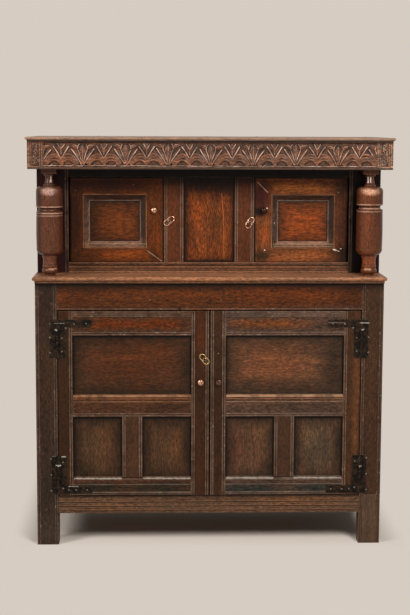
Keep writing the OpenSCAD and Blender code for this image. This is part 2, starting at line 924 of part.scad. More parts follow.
module frieze_board() {
    color(oak) level(-x_block + seam, x_block - seam, y_frieze, z_frieze, frieze_h, frieze_t);
}

// Blocks at the ends of the frieze, with a sunk field in front
module frieze_end_blocks() {
    border = 8;
    sink = 3;
    color(oak) both_sides() difference() {
        block([-x_frieze, y_frieze, z_frieze], [-x_block, y_frieze + end_block_d, z_top]);
        block(
            [-x_frieze + border, y_frieze - 1, z_frieze + 2 * border],
            [-x_block - border, y_frieze + sink, z_top - border]
        );
    }
}

module canopy_side_rails() {
    color(oak) both_sides()
        block([-x_frieze, y_frieze + end_block_d, z_frieze], [-x_case, y_back, z_top]);
}

// One board between the end blocks, and one behind them up to the upper case
module soffit_boards() {
    y1 = y_frieze + end_block_d;
    color(hidden_oak) {
        difference() {
            block([-x_block, y_frieze + frieze_t, z_frieze], [x_block, y1, z_frieze + soffit_t]);
            both_sides() column_peg(z_frieze - 1, z_frieze + soffit_t + 1, fit);
        }
        block([-x_case, y1 + seam, z_frieze], [x_case, y_upper, z_frieze + soffit_t]);
    }
}

// Three boards side by side, moulded at the front and at both ends
module top_boards() {
    count = 3;
    w = (box_d - seam * (count - 1)) / count;
    color(pale_oak) for (i = [0:count - 1]) intersection() {
        moulded_board(x_frieze + top_side, y_top, y_top + box_d, z_top, z_top + top_t, top_t * 0.75);
        translate([-2 * case_w, y_top + i * (w + seam), 0]) cube([4 * case_w, w, 2 * z_top]);
    }
}

// Surface hinges, all drawn for the left door

// The heights of the two plates
leaf_z = [door_z0 + hinge_up, door_z1 - hinge_down - leaf_h];

// A knuckle of the barrel that starts at height z
module knuckle(z, h, r = knuckle_r) {
    translate([hinge_x, hinge_y, z]) cylinder(h = h, r = r);
}

// The bore for the hinge pin
module hinge_bore(z) {
    translate([hinge_x, hinge_y, z - 1]) cylinder(h = leaf_h + 2, d = hinge_pin_d + 2 * turning);
}

// Where the barrel starts above the foot of its plate, and the height of its middle knuckle
barrel_z = (leaf_h - barrel_h) / 2;
middle_h = barrel_h / 3;

// A plate with clipped corners at its outer side, drawn in x and z
module plate(x0, x1, z0, z1) {
    clip = 5;
    along_y(y_case - leaf_t, y_case)
        polygon([[x0, z0 + clip], [x0 + clip, z0], [x1, z0], [x1, z1], [x0 + clip, z1], [x0, z1 - clip]]);
}

module post_leaf(z) {
    zb = z + barrel_z;
    difference() {
        union() {
            plate(hinge_x - seam - post_leaf_w, hinge_x - seam, z, z + leaf_h);
            knuckle(zb, middle_h);
            knuckle(zb + 2 * middle_h, middle_h);
        }
        knuckle(zb + middle_h - seam, middle_h + 2 * seam, knuckle_r + seam);
        pin_head(zb, seam);
        hinge_bore(z);
    }
}

// The door's plate, with its strap at the top or at the foot
module door_leaf(z, strap_at_top) {
    zb = z + barrel_z;
    zs = strap_at_top ? z + leaf_h - strap_h : z;
    difference() {
        union() {
            mirror_x(hinge_x) plate(hinge_x - seam - door_leaf_w, hinge_x - seam, z, z + leaf_h);
            mirror_x(hinge_x) plate(hinge_x - strap_l, hinge_x - door_leaf_w + 6, zs, zs + strap_h);
            knuckle(zb + middle_h + seam, middle_h - 2 * seam);
        }
        knuckle(zb - seam, middle_h + 2 * seam, knuckle_r + seam);
        knuckle(zb + 2 * middle_h - seam, middle_h + 2 * seam, knuckle_r + seam);
        pin_head(zb, seam);
        hinge_bore(z);
    }
}

// Mirror image about the upright plane at x
module mirror_x(x) {
    translate([2 * x, 0, 0]) mirror([1, 0, 0]) children();
}

// The head of a pin on the barrel that starts at height z, and with play the room for it
module pin_head(z, play = 0) {
    head_h = 2;
    knuckle(z + barrel_h, head_h + play, knuckle_r - 1 + play);
}

module hinge_pin(z) {
    translate([hinge_x, hinge_y, z + barrel_z]) cylinder(h = barrel_h + 1, d = hinge_pin_d);
    pin_head(z + barrel_z);
}

module post_hinge_leaves() {
    color(iron) both_sides() for (z = leaf_z) post_leaf(z);
}

module hinge_pins() {
    color(iron) both_sides() for (z = leaf_z) hinge_pin(z);
}

module door_hinge_leaves() {
    color(iron) {
        door_leaf(leaf_z[0], false);
        door_leaf(leaf_z[1], true);
    }
}

module pivot_pins() {
    color(iron) both_sides() {
        pivot_pin(z_sill - pivot_fixed + fit, up_z0 + pivot_in);
        pivot_pin(up_z1 - pivot_in, z_head + pivot_fixed - fit);
    }
}

// Lower doors, drawn for the left and mirrored for the right

door_y_mid = y_case + door_t / 2;
door_tenon_l = 26;

// The three rails as height and thickness pairs
door_rails = [[door_z0, low_panel_z], [mid_rail_z, high_panel_z], [high_rail_z, door_z1]];

module door_stiles(hinge_stile, meeting_stile) {
    xi0 = door_x0 + hinge_stile;
    xi1 = door_x1 - meeting_stile;
    color(dark_oak) difference() {
        union() {
            upright(door_x0, y_case, door_z0, door_z1, hinge_stile, door_t, "plain", "bead", false, true);
            upright(xi1, y_case, door_z0, door_z1, meeting_stile, door_t, "bead", "bead", true, false);
        }
        for (r = door_rails) {
            tenon_x(xi0, -1, door_y_mid, r[0], r[1], fit, door_tenon_l);
            tenon_x(xi1, 1, door_y_mid, r[0], r[1], fit, door_tenon_l);
        }
        knob_shank([door_x1 - low_knob_in, low_knob_z], y_case, fit / 2);
        children();
    }
}

module door_rail_set(hinge_stile, meeting_stile) {
    xi0 = door_x0 + hinge_stile;
    xi1 = door_x1 - meeting_stile;
    xm = (xi0 + xi1) / 2;
    edges = [["bead", "chamfer"], ["bead", "chamfer"], ["bead", "bead"]];
    color(oak) difference() {
        for (i = [0:2]) {
            r = door_rails[i];
            level(xi0, xi1, y_case, r[0], r[1] - r[0], door_t, edges[i][0], edges[i][1], i > 0, i < 2);
            tenon_x(xi0, -1, door_y_mid, r[0], r[1], 0, door_tenon_l);
            tenon_x(xi1, 1, door_y_mid, r[0], r[1], 0, door_tenon_l);
        }
        tenon_z(low_panel_z, -1, door_y_mid, xm - door_muntin / 2, xm + door_muntin / 2, fit, door_tenon_l);
        tenon_z(mid_rail_z, 1, door_y_mid, xm - door_muntin / 2, xm + door_muntin / 2, fit, door_tenon_l);
    }
}

// The upright between the small panels; its foot is cut over the chamfer of the bottom rail
module door_upright(hinge_stile, meeting_stile) {
    xm = (door_x0 + hinge_stile + door_x1 - meeting_stile) / 2;
    x0 = xm - door_muntin / 2;
    x1 = xm + door_muntin / 2;
    color(oak) {
        upright(x0, y_case, low_panel_z, mid_rail_z, door_muntin, door_t, "bead", "bead", true, true);
        tenon_z(low_panel_z, -1, door_y_mid, x0, x1, 0, door_tenon_l);
        tenon_z(mid_rail_z, 1, door_y_mid, x0, x1, 0, door_tenon_l);
    }
}

module door_panels(hinge_stile, meeting_stile) {
    xi0 = door_x0 + hinge_stile;
    xi1 = door_x1 - meeting_stile;
    xm = (xi0 + xi1) / 2;
    y = y_case + panel_set + fit / 2;
    color(oak) {
        panel(xi0, xi1, high_panel_z, high_rail_z, y);
        panel(xi0, xm - door_muntin / 2, low_panel_z, mid_rail_z, y);
        panel(xm + door_muntin / 2, xi1, low_panel_z, mid_rail_z, y);
    }
}

module lower_left_stiles() {
    door_stiles(left_hinge_stile, left_meeting_stile)
        button_screw_shank(low_button, y_case, fit / 2);
}

module lower_left_rails() {
    door_rail_set(left_hinge_stile, left_meeting_stile);
}

module lower_left_muntin() {
    door_upright(left_hinge_stile, left_meeting_stile);
}

module lower_left_panels() {
    door_panels(left_hinge_stile, left_meeting_stile);
}

module lower_left_hinge_leaves() {
    door_hinge_leaves();
}

module lower_left_knob() {
    knob([door_x1 - low_knob_in, low_knob_z], y_case);
}

module lower_right_stiles() {
    mirror([1, 0, 0]) door_stiles(right_hinge_stile, right_meeting_stile);
}

module lower_right_rails() {
    mirror([1, 0, 0]) door_rail_set(right_hinge_stile, right_meeting_stile);
}

module lower_right_muntin() {
    mirror([1, 0, 0]) door_upright(right_hinge_stile, right_meeting_stile);
}

module lower_right_panels() {
    mirror([1, 0, 0]) door_panels(right_hinge_stile, right_meeting_stile);
}

module lower_right_hinge_leaves() {
    mirror([1, 0, 0]) door_hinge_leaves();
}

module lower_right_knob() {
    mirror([1, 0, 0]) knob([door_x1 - low_knob_in, low_knob_z], y_case);
}

// Upper doors, drawn for the left and mirrored for the right

// The whole door blank: a slab with a round hinge edge, bored for its pins
module door_blank() {
    difference() {
        along_z(up_z0, up_z1) {
            translate([pivot_x, pivot_y]) circle(d = up_door_t);
            translate([pivot_x, y_upper]) square([up_x1 - pivot_x, up_door_t]);
        }
        pivot_pin(up_z0 - 1, up_z0 + pivot_in + 1, turning);
        pivot_pin(up_z1 - pivot_in - 1, up_z1 + 1, turning);
        knob_shank([up_x1 - up_knob_in, up_knob_z], y_upper, fit / 2);
    }
}

// The outline of one mitred member, from an outer edge a-b to the inner edge c-d
module mitre(a, b, c, d) {
    along_y(y_upper - 1, y_upper + up_door_t + 1) polygon([a, b, c, d]);
}

module mitred_frame() {
    g = seam / 2;
    xi0 = up_in[0];
    xi1 = up_in[1];
    zi0 = up_in[2];
    zi1 = up_in[3];
    color(oak) difference() {
        union() {
            intersection() {
                door_blank();
                mitre([up_x0 - 1, up_z0 + g], [up_x0 - 1, up_z1 - g], [xi0, zi1 - g], [xi0, zi0 + g]);
            }
            intersection() {
                door_blank();
                mitre([up_x1 + 1, up_z0 + g], [up_x1 + 1, up_z1 - g], [xi1, zi1 - g], [xi1, zi0 + g]);
            }
            intersection() {
                door_blank();
                mitre([up_x0 + g, up_z1], [up_x1 - g, up_z1], [xi1 - g, zi1], [xi0 + g, zi1]);
            }
            intersection() {
                door_blank();
                mitre([up_x0 + g, up_z0], [up_x1 - g, up_z0], [xi1 - g, zi0], [xi0 + g, zi0]);
            }
        }
        block(
            [xi0 - groove, y_upper + up_panel_set, zi0 - groove],
            [xi1 + groove, y_upper + up_panel_set + panel_edge + fit, zi1 + groove]
        );
    }
}

// How deep the field of an upper door lies behind the frame
up_panel_set = 11;

module upper_door_panel() {
    y = y_upper + up_panel_set + fit / 2;
    e = groove - seam;
    color(red_oak) block([up_in[0] - e, y, up_in[2] - e], [up_in[1] + e, y + panel_edge, up_in[3] + e]);
}

// Section of the sloping moulding, across it in x and into the door in y: a raised bead at
// the frame, a long hollow slope and a small bead on the panel
module slope_section() {
    proud = 4;
    bead = 7;
    foot = 4;
    depth = up_panel_set;
    difference() {
        translate([seam, -proud]) square([slope_w - seam, proud + depth]);
        // the long slope from the outer bead down to the foot
        polygon([
            [bead, -proud - 1], [bead, -proud + 1.5], [slope_w - foot, depth - 3],
            [slope_w + 1, depth - 3], [slope_w + 1, -proud - 1]
        ]);
        translate([slope_w * 0.56, -proud - slope_w * 0.42]) circle(r = slope_w * 0.58);
        difference() {
            translate([-1, -proud - 1]) square([bead / 2 + 1, bead / 2 + 1]);
            translate([bead / 2 + seam, -proud + bead / 2]) circle(d = bead);
        }
    }
}

// One length of the moulding along x, cut to its mitres
module slope_length(x0, x1, z, up) {
    run = x1 - x0;
    flip = up ? 0 : 1;
    translate([x0, 0, z]) mirror([0, 0, flip]) intersection() {
        along_x(0, run) translate([y_upper, 0]) mirror([1, -1]) slope_section();
        along_y(y_upper - 20, y_upper + 20)
            polygon([[seam, 0], [run - seam, 0], [run - seam - slope_w, slope_w], [seam + slope_w, slope_w]]);
    }
}

// One length of the moulding along z, cut to its mitres
module slope_height(x, z0, z1, right) {
    run = z1 - z0;
    flip = right ? 0 : 1;
    translate([x, 0, z0]) mirror([flip, 0, 0]) intersection() {
        along_z(0, run) translate([0, y_upper]) slope_section();
        along_y(y_upper - 20, y_upper + 20)
            polygon([[0, seam], [0, run - seam], [slope_w, run - seam - slope_w], [slope_w, seam + slope_w]]);
    }
}

module sloping_mouldings() {
    color(dark_oak) {
        slope_length(up_in[0], up_in[1], up_in[2], true);
        slope_length(up_in[0], up_in[1], up_in[3], false);
        slope_height(up_in[0], up_in[2], up_in[3], true);
        slope_height(up_in[1], up_in[2], up_in[3], false);
    }
}

module upper_left_frame() {
    mitred_frame();
}

module upper_left_mouldings() {
    sloping_mouldings();
}

module upper_left_panel() {
    upper_door_panel();
}

module upper_left_knob() {
    knob([up_x1 - up_knob_in, up_knob_z], y_upper);
}

module upper_right_frame() {
    mirror([1, 0, 0]) mitred_frame();
}

module upper_right_mouldings() {
    mirror([1, 0, 0]) sloping_mouldings();
}

module upper_right_panel() {
    mirror([1, 0, 0]) upper_door_panel();
}

module upper_right_knob() {
    mirror([1, 0, 0]) knob([up_x1 - up_knob_in, up_knob_z], y_upper);
}

// Knobs and turn buttons. Both are drawn round an axis that points out of the face, then laid
// on the face at y, at the point at = [x, z].
module on_face(at, y) {
    translate([at[0], y, at[1]]) rotate([90, 0, 0]) children();
}

// The shank of a knob in its stile, and with play its hole
module knob_shank(at, y, play = 0) {
    r = 3;
    l = 16;
    on_face(at, y) translate([0, 0, -l - play]) cylinder(h = l + play + 1, r = r + play);
}

module knob(at, y) {
    rose = 8;
    neck = 4.5;
    ball = knob_out * 0.72;
    color(brass) {
        on_face(at, y) rotate_extrude() {
            square([rose, 2]);
            square([neck, knob_out / 2]);
            intersection() {
                translate([0, knob_out - ball]) square([knob_d / 2, ball]);
                union() {
                    translate([knob_d / 2 - ball / 2, knob_out - ball / 2]) circle(d = ball);
                    translate([0, knob_out - ball]) square([knob_d / 2 - ball / 2, ball]);
                }
            }
        }
        knob_shank(at, y);
    }
}

// The hole for a button's screw in the wood
module button_screw_shank(at, y, play = 0) {
    on_face(at, y) translate([0, 0, -screw_l - play])
        cylinder(h = screw_l + play + 1, r = screw_d / 2 + play);
}

// An oval ring of round bar with a hub on a bridge, bored for its screw
module turn_button(at, y, tilt) {
    r = button_bar / 2;
    bend = button_w / 2 - r;
    straight = button_l / 2 - button_w / 2;
    hub_t = button_bar + 0.6;
    color(brass) on_face(at, y) rotate([0, 0, tilt]) translate([0, 0, button_axis_y]) difference() {
        union() {
            for (s = [0, 180]) rotate([0, 0, s]) {
                translate([straight, 0, 0]) rotate([0, 0, -90])
                    rotate_extrude(angle = 180) translate([bend, 0]) circle(r = r);
                translate([-straight, bend, 0]) rotate([0, 90, 0]) cylinder(h = 2 * straight, r = r);
            }
            translate([0, 0, -r]) cylinder(h = hub_t, r = button_hub_r);
            translate([-button_hub_r * 0.6, -bend, -r * 0.7]) cube([button_hub_r * 1.2, 2 * bend, r * 1.4]);
        }
        translate([0, 0, -button_bar]) cylinder(h = 3 * button_bar, d = screw_d + 2 * turning);
    }
}

// The screw that holds a button, with its round head
module button_screw(at, y) {
    head_r = 4.4;
    head_t = 2.4;
    top = button_axis_y + button_bar / 2 + 0.6 + seam;
    color(iron) on_face(at, y) {
        translate([0, 0, -screw_l]) cylinder(h = screw_l + top + 0.5, d = screw_d);
        translate([0, 0, top]) cylinder(h = head_t, r = head_r);
    }
}

module upper_button_screws() {
    button_screw(up_left_button, y_upper);
    button_screw(up_right_button, y_upper);
}

module lower_button_screw() {
    button_screw(low_button, y_case);
}

module lower_turn_button() {
    turn_button(low_button, y_case, low_button_tilt);
}

module upper_left_turn_button() {
    turn_button(up_left_button, y_upper, up_left_tilt);
}

module upper_right_turn_button() {
    turn_button(up_right_button, y_upper, up_right_tilt);
}

front_post_left();
front_post_right();
spliced_foot_right();
rear_posts();
lower_top_rail();
lower_bottom_rail();
lower_side_rails();
lower_side_panels();
back_rails();
lower_back_boards();
floor_boards();
shelf_boards();
bearers();
waist_board();
upper_posts();
upper_rear_posts();
upper_head_rail();
upper_sill_rail();
upper_muntins();
centre_panel();
upper_side_rails();
upper_side_panels();
upper_back_boards();
column_left();
column_right();
frieze_board();
frieze_end_blocks();
canopy_side_rails();
soffit_boards();
top_boards();
door_stops();
post_hinge_leaves();
hinge_pins();
pivot_pins();
upper_button_screws();
lower_left_stiles();
lower_left_rails();
lower_left_muntin();
lower_left_panels();
lower_left_hinge_leaves();
lower_left_knob();
lower_button_screw();
lower_right_stiles();
lower_right_rails();
lower_right_muntin();
lower_right_panels();
lower_right_hinge_leaves();
lower_right_knob();
upper_left_frame();
upper_left_mouldings();
upper_left_panel();
upper_left_knob();
upper_right_frame();
upper_right_mouldings();
upper_right_panel();
upper_right_knob();
lower_turn_button();
upper_left_turn_button();
upper_right_turn_button();
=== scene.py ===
import bmesh
import bpy
import json
import math
import numpy as np
from mathutils import Matrix, Vector

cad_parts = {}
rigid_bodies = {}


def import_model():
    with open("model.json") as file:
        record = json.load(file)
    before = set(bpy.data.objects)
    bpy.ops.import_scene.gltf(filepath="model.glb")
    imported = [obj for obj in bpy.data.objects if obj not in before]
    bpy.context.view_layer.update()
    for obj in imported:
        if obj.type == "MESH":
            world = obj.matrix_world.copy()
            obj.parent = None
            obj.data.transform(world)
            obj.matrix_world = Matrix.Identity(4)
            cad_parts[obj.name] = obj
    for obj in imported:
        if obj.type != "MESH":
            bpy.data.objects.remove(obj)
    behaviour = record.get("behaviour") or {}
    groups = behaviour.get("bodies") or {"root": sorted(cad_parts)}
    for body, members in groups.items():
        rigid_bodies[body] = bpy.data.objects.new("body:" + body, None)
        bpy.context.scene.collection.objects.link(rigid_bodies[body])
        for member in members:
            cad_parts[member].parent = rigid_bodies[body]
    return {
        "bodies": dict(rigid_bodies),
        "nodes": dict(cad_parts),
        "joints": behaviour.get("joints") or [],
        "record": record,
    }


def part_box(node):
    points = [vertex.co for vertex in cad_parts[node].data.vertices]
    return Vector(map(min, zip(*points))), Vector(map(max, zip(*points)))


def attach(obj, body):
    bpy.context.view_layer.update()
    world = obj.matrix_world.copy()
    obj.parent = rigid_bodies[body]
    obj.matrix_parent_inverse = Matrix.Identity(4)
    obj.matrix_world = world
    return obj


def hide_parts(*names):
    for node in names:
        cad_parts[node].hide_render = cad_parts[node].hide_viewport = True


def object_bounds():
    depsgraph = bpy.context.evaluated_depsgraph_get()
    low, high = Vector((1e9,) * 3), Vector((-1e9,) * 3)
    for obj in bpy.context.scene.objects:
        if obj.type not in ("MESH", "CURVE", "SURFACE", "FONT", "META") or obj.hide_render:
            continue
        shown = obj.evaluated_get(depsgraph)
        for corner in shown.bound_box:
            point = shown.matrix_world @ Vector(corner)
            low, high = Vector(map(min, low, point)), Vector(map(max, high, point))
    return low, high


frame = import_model()
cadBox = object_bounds()
print("frame loaded,", len(frame["nodes"]), "solids' nodes")


def tone(r, g, b):  # a display colour, 0 to 255, as Blender's linear colour
    def linear(v):
        v /= 255
        return v / 12.92 if v <= 0.04045 else ((v + 0.055) / 1.055) ** 2.4
    return (linear(r), linear(g), linear(b), 1.0)


def newObject(name, data):
    obj = bpy.data.objects.new(name, data)
    bpy.context.scene.collection.objects.link(obj)
    return obj


# making node trees

class Nodes:
    def __init__(self, tree):
        self.tree = tree
        tree.nodes.clear()

    def add(self, kind, settings=None, **values):
        node = self.tree.nodes.new(kind)
        for name, value in (settings or {}).items():
            setattr(node, name, value)
        for name, value in values.items():
            self.feed(node.inputs[name.replace("_", " ")], value)
        return node

    def link(self, start, end):
        self.tree.links.new(start, end)

    def feed(self, socket, value):
        if isinstance(value, bpy.types.NodeSocket):
            self.link(value, socket)
        elif value is not None:
            socket.default_value = value

    def maths(self, action, a, b=None, c=None, clamp=False):
        node = self.add("ShaderNodeMath", {"operation": action, "use_clamp": clamp})
        for socket, value in zip(node.inputs, (a, b, c)):
            self.feed(socket, value)
        return node.outputs[0]

    def chain(self, action, first, *others):
        for other in others:
            first = self.maths(action, first, other)
        return first

    def times(self, *values):
        return self.chain("MULTIPLY", *values)

    def plus(self, *values):
        return self.chain("ADD", *values)

    def minus(self, a, b):
        return self.maths("SUBTRACT", a, b)

    def over(self, a, b):
        return self.maths("DIVIDE", a, b)

    def highest(self, *values):
        return self.chain("MAXIMUM", *values)

    def vector(self, action, a, b=None, scale=None):
        node = self.add("ShaderNodeVectorMath", {"operation": action})
        self.feed(node.inputs[0], a)
        self.feed(node.inputs[1], b)
        if scale is not None:
            self.feed(node.inputs["Scale"], scale)
        return node.outputs["Value"] if action in ("DOT_PRODUCT", "LENGTH") else node.outputs[0]

    def apart(self, a, b):
        return self.vector("ABSOLUTE", self.vector("SUBTRACT", a, b))

    def parts(self, vector):
        return self.add("ShaderNodeSeparateXYZ", Vector=vector).outputs

    def mix(self, share, a, b, blend="MIX"):
        node = self.add("ShaderNodeMix", {"data_type": "RGBA", "blend_type": blend, "clamp_factor": True})
        for n, value in ((0, share), (6, a), (7, b)):
            self.feed(node.inputs[n], value)
        return node.outputs[2]

    def tint(self, share, colour, factor):
        return self.mix(share, colour, self.mix(1.0, colour, (*factor, 1), "MULTIPLY"))

    def noise(self, place, stretch, detail=2.0, rough=0.5, wander=0.0):
        stretched = self.vector("MULTIPLY", place, stretch if isinstance(stretch, tuple) else (stretch,) * 3)
        return self.add("ShaderNodeTexNoise", Vector=stretched, Scale=1.0, Detail=detail,
                        Roughness=rough, Distortion=wander).outputs[0]

    def waver(self, place, often, detail, by):  # a small offset that changes from place to place
        wave = self.add("ShaderNodeTexNoise", Vector=place, Scale=often, Detail=detail).outputs["Color"]
        return self.vector("SCALE", self.vector("SUBTRACT", wave, (0.5, 0.5, 0.5)), scale=by)

    def step(self, value, low, high, to=(0.0, 1.0)):
        node = self.add("ShaderNodeMapRange", {"interpolation_type": "SMOOTHSTEP"})
        for socket, v in zip(node.inputs, (value, low, high, *to)):
            self.feed(socket, v)
        return node.outputs[0]

    def patches(self, place, stretch, detail, rough, low, high, to=(0.0, 1.0)):
        return self.step(self.noise(place, stretch, detail, rough), low, high, to)

    def group(self, name, **values):
        node = self.tree.nodes.new("ShaderNodeGroup")
        node.node_tree = bpy.data.node_groups[name]
        for key, value in values.items():
            self.feed(node.inputs[key], value)
        return node

    def mixShaders(self, share, first, second, end):
        mixed = self.add("ShaderNodeMixShader")
        for socket, value in zip(mixed.inputs, (share, first.outputs[0], second.outputs[0])):
            self.link(value, socket)
        self.link(mixed.outputs[0], self.add(end).inputs[0])


def newGroup(name, inputs, kind="ShaderNodeTree", **outputs):  # an input is its kind, or its usual number
    tree = bpy.data.node_groups.new(name, kind)
    for label, value in inputs.items():
        word = value if isinstance(value, str) else "Int" if isinstance(value, int) else "Float"
        socket = tree.interface.new_socket(name=label, in_out="INPUT", socket_type="NodeSocket" + word)
        if value != word:
            socket.default_value = value
    for label, word in outputs.items():
        tree.interface.new_socket(name=label, in_out="OUTPUT", socket_type="NodeSocket" + word)
    t = Nodes(tree)
    get, ends = t.add("NodeGroupInput").outputs, t.add("NodeGroupOutput").inputs

    def put(**values):
        for label, value in values.items():
            t.link(value, ends[label])
    return t, get, put


def newMaterial(name):
    material = bpy.data.materials.new(name)
    material.use_nodes = True
    t = Nodes(material.node_tree)
    return material, t, t.add("ShaderNodeTexCoord").outputs["Object"]


# camera and studio

view = {
    "place": (-0.1911, -5.6615, 1.6377),
    "heading": (0.0317, 0.9995),
    "pitch": 0.1277,
    "roll": 0.0037,
    "lens": 82.7,
}
studio = {
    "backdrop": tone(214, 204, 194),
    "floor": (0.80, 0.72, 0.65, 1),
    "light": (1.0, 0.97, 0.93),
    "ambient": 0.15,
    "target": (0, -0.1, 0.85),
    "lamps": [  # azimuth from the front, height in degrees, distance, size, watts
        ("windowLeft", -52, 27, 5.0, (1.3, 1.6), 146),
        ("windowRight", 22, 33, 5.0, (1.3, 1.6), 184),
    ],
}


def setCamera():
    ahead = Vector((*view["heading"], 0)).normalized()
    forward = ahead * math.cos(view["pitch"]) - Vector((0, 0, math.sin(view["pitch"])))
    right = Vector((ahead.y, -ahead.x, 0))
    up = right.cross(forward)
    sideways = right * math.cos(view["roll"]) + up * math.sin(view["roll"])
    upwards = up * math.cos(view["roll"]) - right * math.sin(view["roll"])
    turn = Matrix((sideways, upwards, -forward)).transposed()
    data = bpy.data.cameras.new("photoCamera")
    data.sensor_width = 36
    data.lens = view["lens"]
    data.clip_start, data.clip_end = 0.1, 60
    camera = newObject("photoCamera", data)
    camera.matrix_world = Matrix.Translation(view["place"]) @ turn.to_4x4()
    bpy.context.scene.camera = camera


def setLamps():
    for name, azimuth, height, distance, size, watts in studio["lamps"]:
        a, h = math.radians(azimuth), math.radians(height)
        away = Vector((math.sin(a) * math.cos(h), -math.cos(a) * math.cos(h), math.sin(h)))
        data = bpy.data.lights.new(name, "AREA")
        data.shape = "RECTANGLE"
        data.size, data.size_y = size
        data.energy = watts
        data.color = studio["light"]
        lamp = newObject(name, data)
        lamp.location = Vector(studio["target"]) + away * distance
        lamp.rotation_mode = "QUATERNION"
        lamp.rotation_quaternion = (-away).to_track_quat("-Z", "Y")


def setWorld():
    world = bpy.data.worlds.new("studioWorld")
    bpy.context.scene.world = world
    world.use_nodes = True
    t = Nodes(world.node_tree)
    rays = t.add("ShaderNodeLightPath").outputs
    seen = t.highest(rays["Is Camera Ray"], rays["Is Glossy Ray"], rays["Is Transmission Ray"])
    light = t.add("ShaderNodeBackground", Color=(*studio["light"], 1), Strength=studio["ambient"])
    show = t.add("ShaderNodeBackground", Color=studio["backdrop"])
    t.mixShaders(seen, light, show, "ShaderNodeOutputWorld")


def setFloor():  # lit near the feet, and of the backdrop's own colour further off
    mesh = bpy.data.meshes.new("studioFloor")
    mesh.from_pydata([(-30, -30, 0), (30, -30, 0), (30, 30, 0), (-30, 30, 0)], [], [(0, 1, 2, 3)])
    floor = newObject("studioFloor", mesh)
    material, t, place = newMaterial("studioFloor")
    rays, spot = t.add("ShaderNodeLightPath").outputs, t.parts(place)
    far = t.highest(t.step(t.maths("ABSOLUTE", spot["X"]), 0.66, 0.80), t.step(spot["Y"], -0.14, -0.34),
                    t.step(spot["Y"], 0.8, 1.7))
    far = t.times(t.highest(rays["Is Camera Ray"], rays["Is Glossy Ray"]), far)
    lit = t.add("ShaderNodeBsdfDiffuse", Color=studio["floor"])
    plain = t.add("ShaderNodeEmission", Color=studio["backdrop"])
    t.mixShaders(far, lit, plain, "ShaderNodeOutputMaterial")
    mesh.materials.append(material)


# effects: groups of nodes that put out colours, masks, values and normals

down = (1.0, 0.0)
box = {"Place": "Vector", "Centre": "Vector", "Half": "Vector"}
edgeSide = {"Across": "Float", "Edge": "Float", "Way": "Float"}


def makeOakFigure():  # the grain of oak along X of Place, in metres
    t, get, put = newGroup("oakFigure", {
        "Place": "Vector", "Dark": "Color", "Middle": "Color", "Light": "Color",
        "Coarse": "Float", "Flame": "Float", "Pores": "Float", "Fleck": "Float",
    }, Color="Color", Height="Float")
    moved = t.waver(t.vector("MULTIPLY", get["Place"], (2.4, 8.0, 8.0)), 1.0, 1.0, 0.03)
    place = t.vector("SCALE", t.vector("ADD", get["Place"], moved), scale=get["Coarse"])
    streak = t.noise(place, (12.0, 260.0, 260.0), 3.0, 0.62)
    fibre = t.noise(place, (26.0, 820.0, 820.0), 2.0, 0.6)
    band = t.noise(place, (1.5, 30.0, 30.0), 2.0)
    mottle = t.noise(place, (70.0, 150.0, 150.0), 3.0, 0.6)
    flame = t.step(t.noise(place, (26.0, 120.0, 120.0), 2.0, 0.55, 0.9), 0.5, 0.68)
    mixed = t.plus(t.times(streak, 0.3), t.times(fibre, 0.2), t.times(mottle, 0.2), t.times(band, 0.3),
                   t.times(flame, get["Flame"], 0.3))
    wood = t.mix(t.step(mixed, 0.36, 0.51), get["Dark"], get["Middle"])
    wood = t.mix(t.step(mixed, 0.5, 0.68), wood, get["Light"])
    fleck = t.patches(place, (64.0, 210.0, 210.0), 3.0, 0.68, 0.37, 0.63, (-1.0, 1.0))
    wood = t.mix(1.0, wood, t.maths("MULTIPLY_ADD", fleck, get["Fleck"], 1.0), "MULTIPLY")
    pore = t.times(t.patches(place, (75.0, 1250.0, 1250.0), 1.0, 0.5, 0.6, 0.68), get["Pores"])
    put(Color=t.mix(t.times(pore, 0.55), wood, tone(24, 15, 10)),
        Height=t.minus(t.plus(t.times(streak, 0.6), t.times(fibre, 0.3)), t.times(pore, 0.35)))


def makeWornEdge():  # rubbed arrises, and a normal that rounds them
    t, get, put = newGroup("wornEdge", {"Place": "Vector", "Reach": 0.003, "Round": 0.0012},
                           Mask="Float", Normal="Vector")
    wide = t.add("ShaderNodeBevel", {"samples": 6}, Radius=get["Reach"]).outputs[0]
    face = t.add("ShaderNodeNewGeometry").outputs["Normal"]
    turned = t.minus(1.0, t.vector("DOT_PRODUCT", wide, face))
    patchy = t.patches(get["Place"], 38, 3.0, 0.6, 0.34, 0.62, (0.25, 1.0))
    put(Mask=t.times(t.step(turned, 0.01, 0.16), patchy),
        Normal=t.add("ShaderNodeBevel", {"samples": 4}, Radius=get["Round"]).outputs[0])


def makeHollowDirt():  # old wax and dust in quirks and corners
    t, get, put = newGroup("hollowDirt", {"Place": "Vector", "Reach": 0.012}, Mask="Float")
    shut = t.add("ShaderNodeAmbientOcclusion", {"samples": 6, "only_local": True}, Distance=get["Reach"])
    patchy = t.patches(get["Place"], 24, 2.0, 0.5, 0.3, 0.6, (0.65, 1.0))
    put(Mask=t.times(t.step(shut.outputs["AO"], 0.42, 0.88, down), patchy))


def makeBoxField():  # 1 inside a rectangle seen from the front, fading out, with a wavering edge
    t, get, put = newGroup("boxField", {**box, "Soft": "Float"}, Mask="Float")
    place = t.vector("ADD", get["Place"], t.waver(get["Place"], 26.0, 2.0, get["Soft"]))
    past = t.parts(t.vector("SUBTRACT", t.apart(place, get["Centre"]), get["Half"]))
    put(Mask=t.step(t.over(t.highest(past["X"], past["Z"]), get["Soft"]), -1.0, 0.35, down))


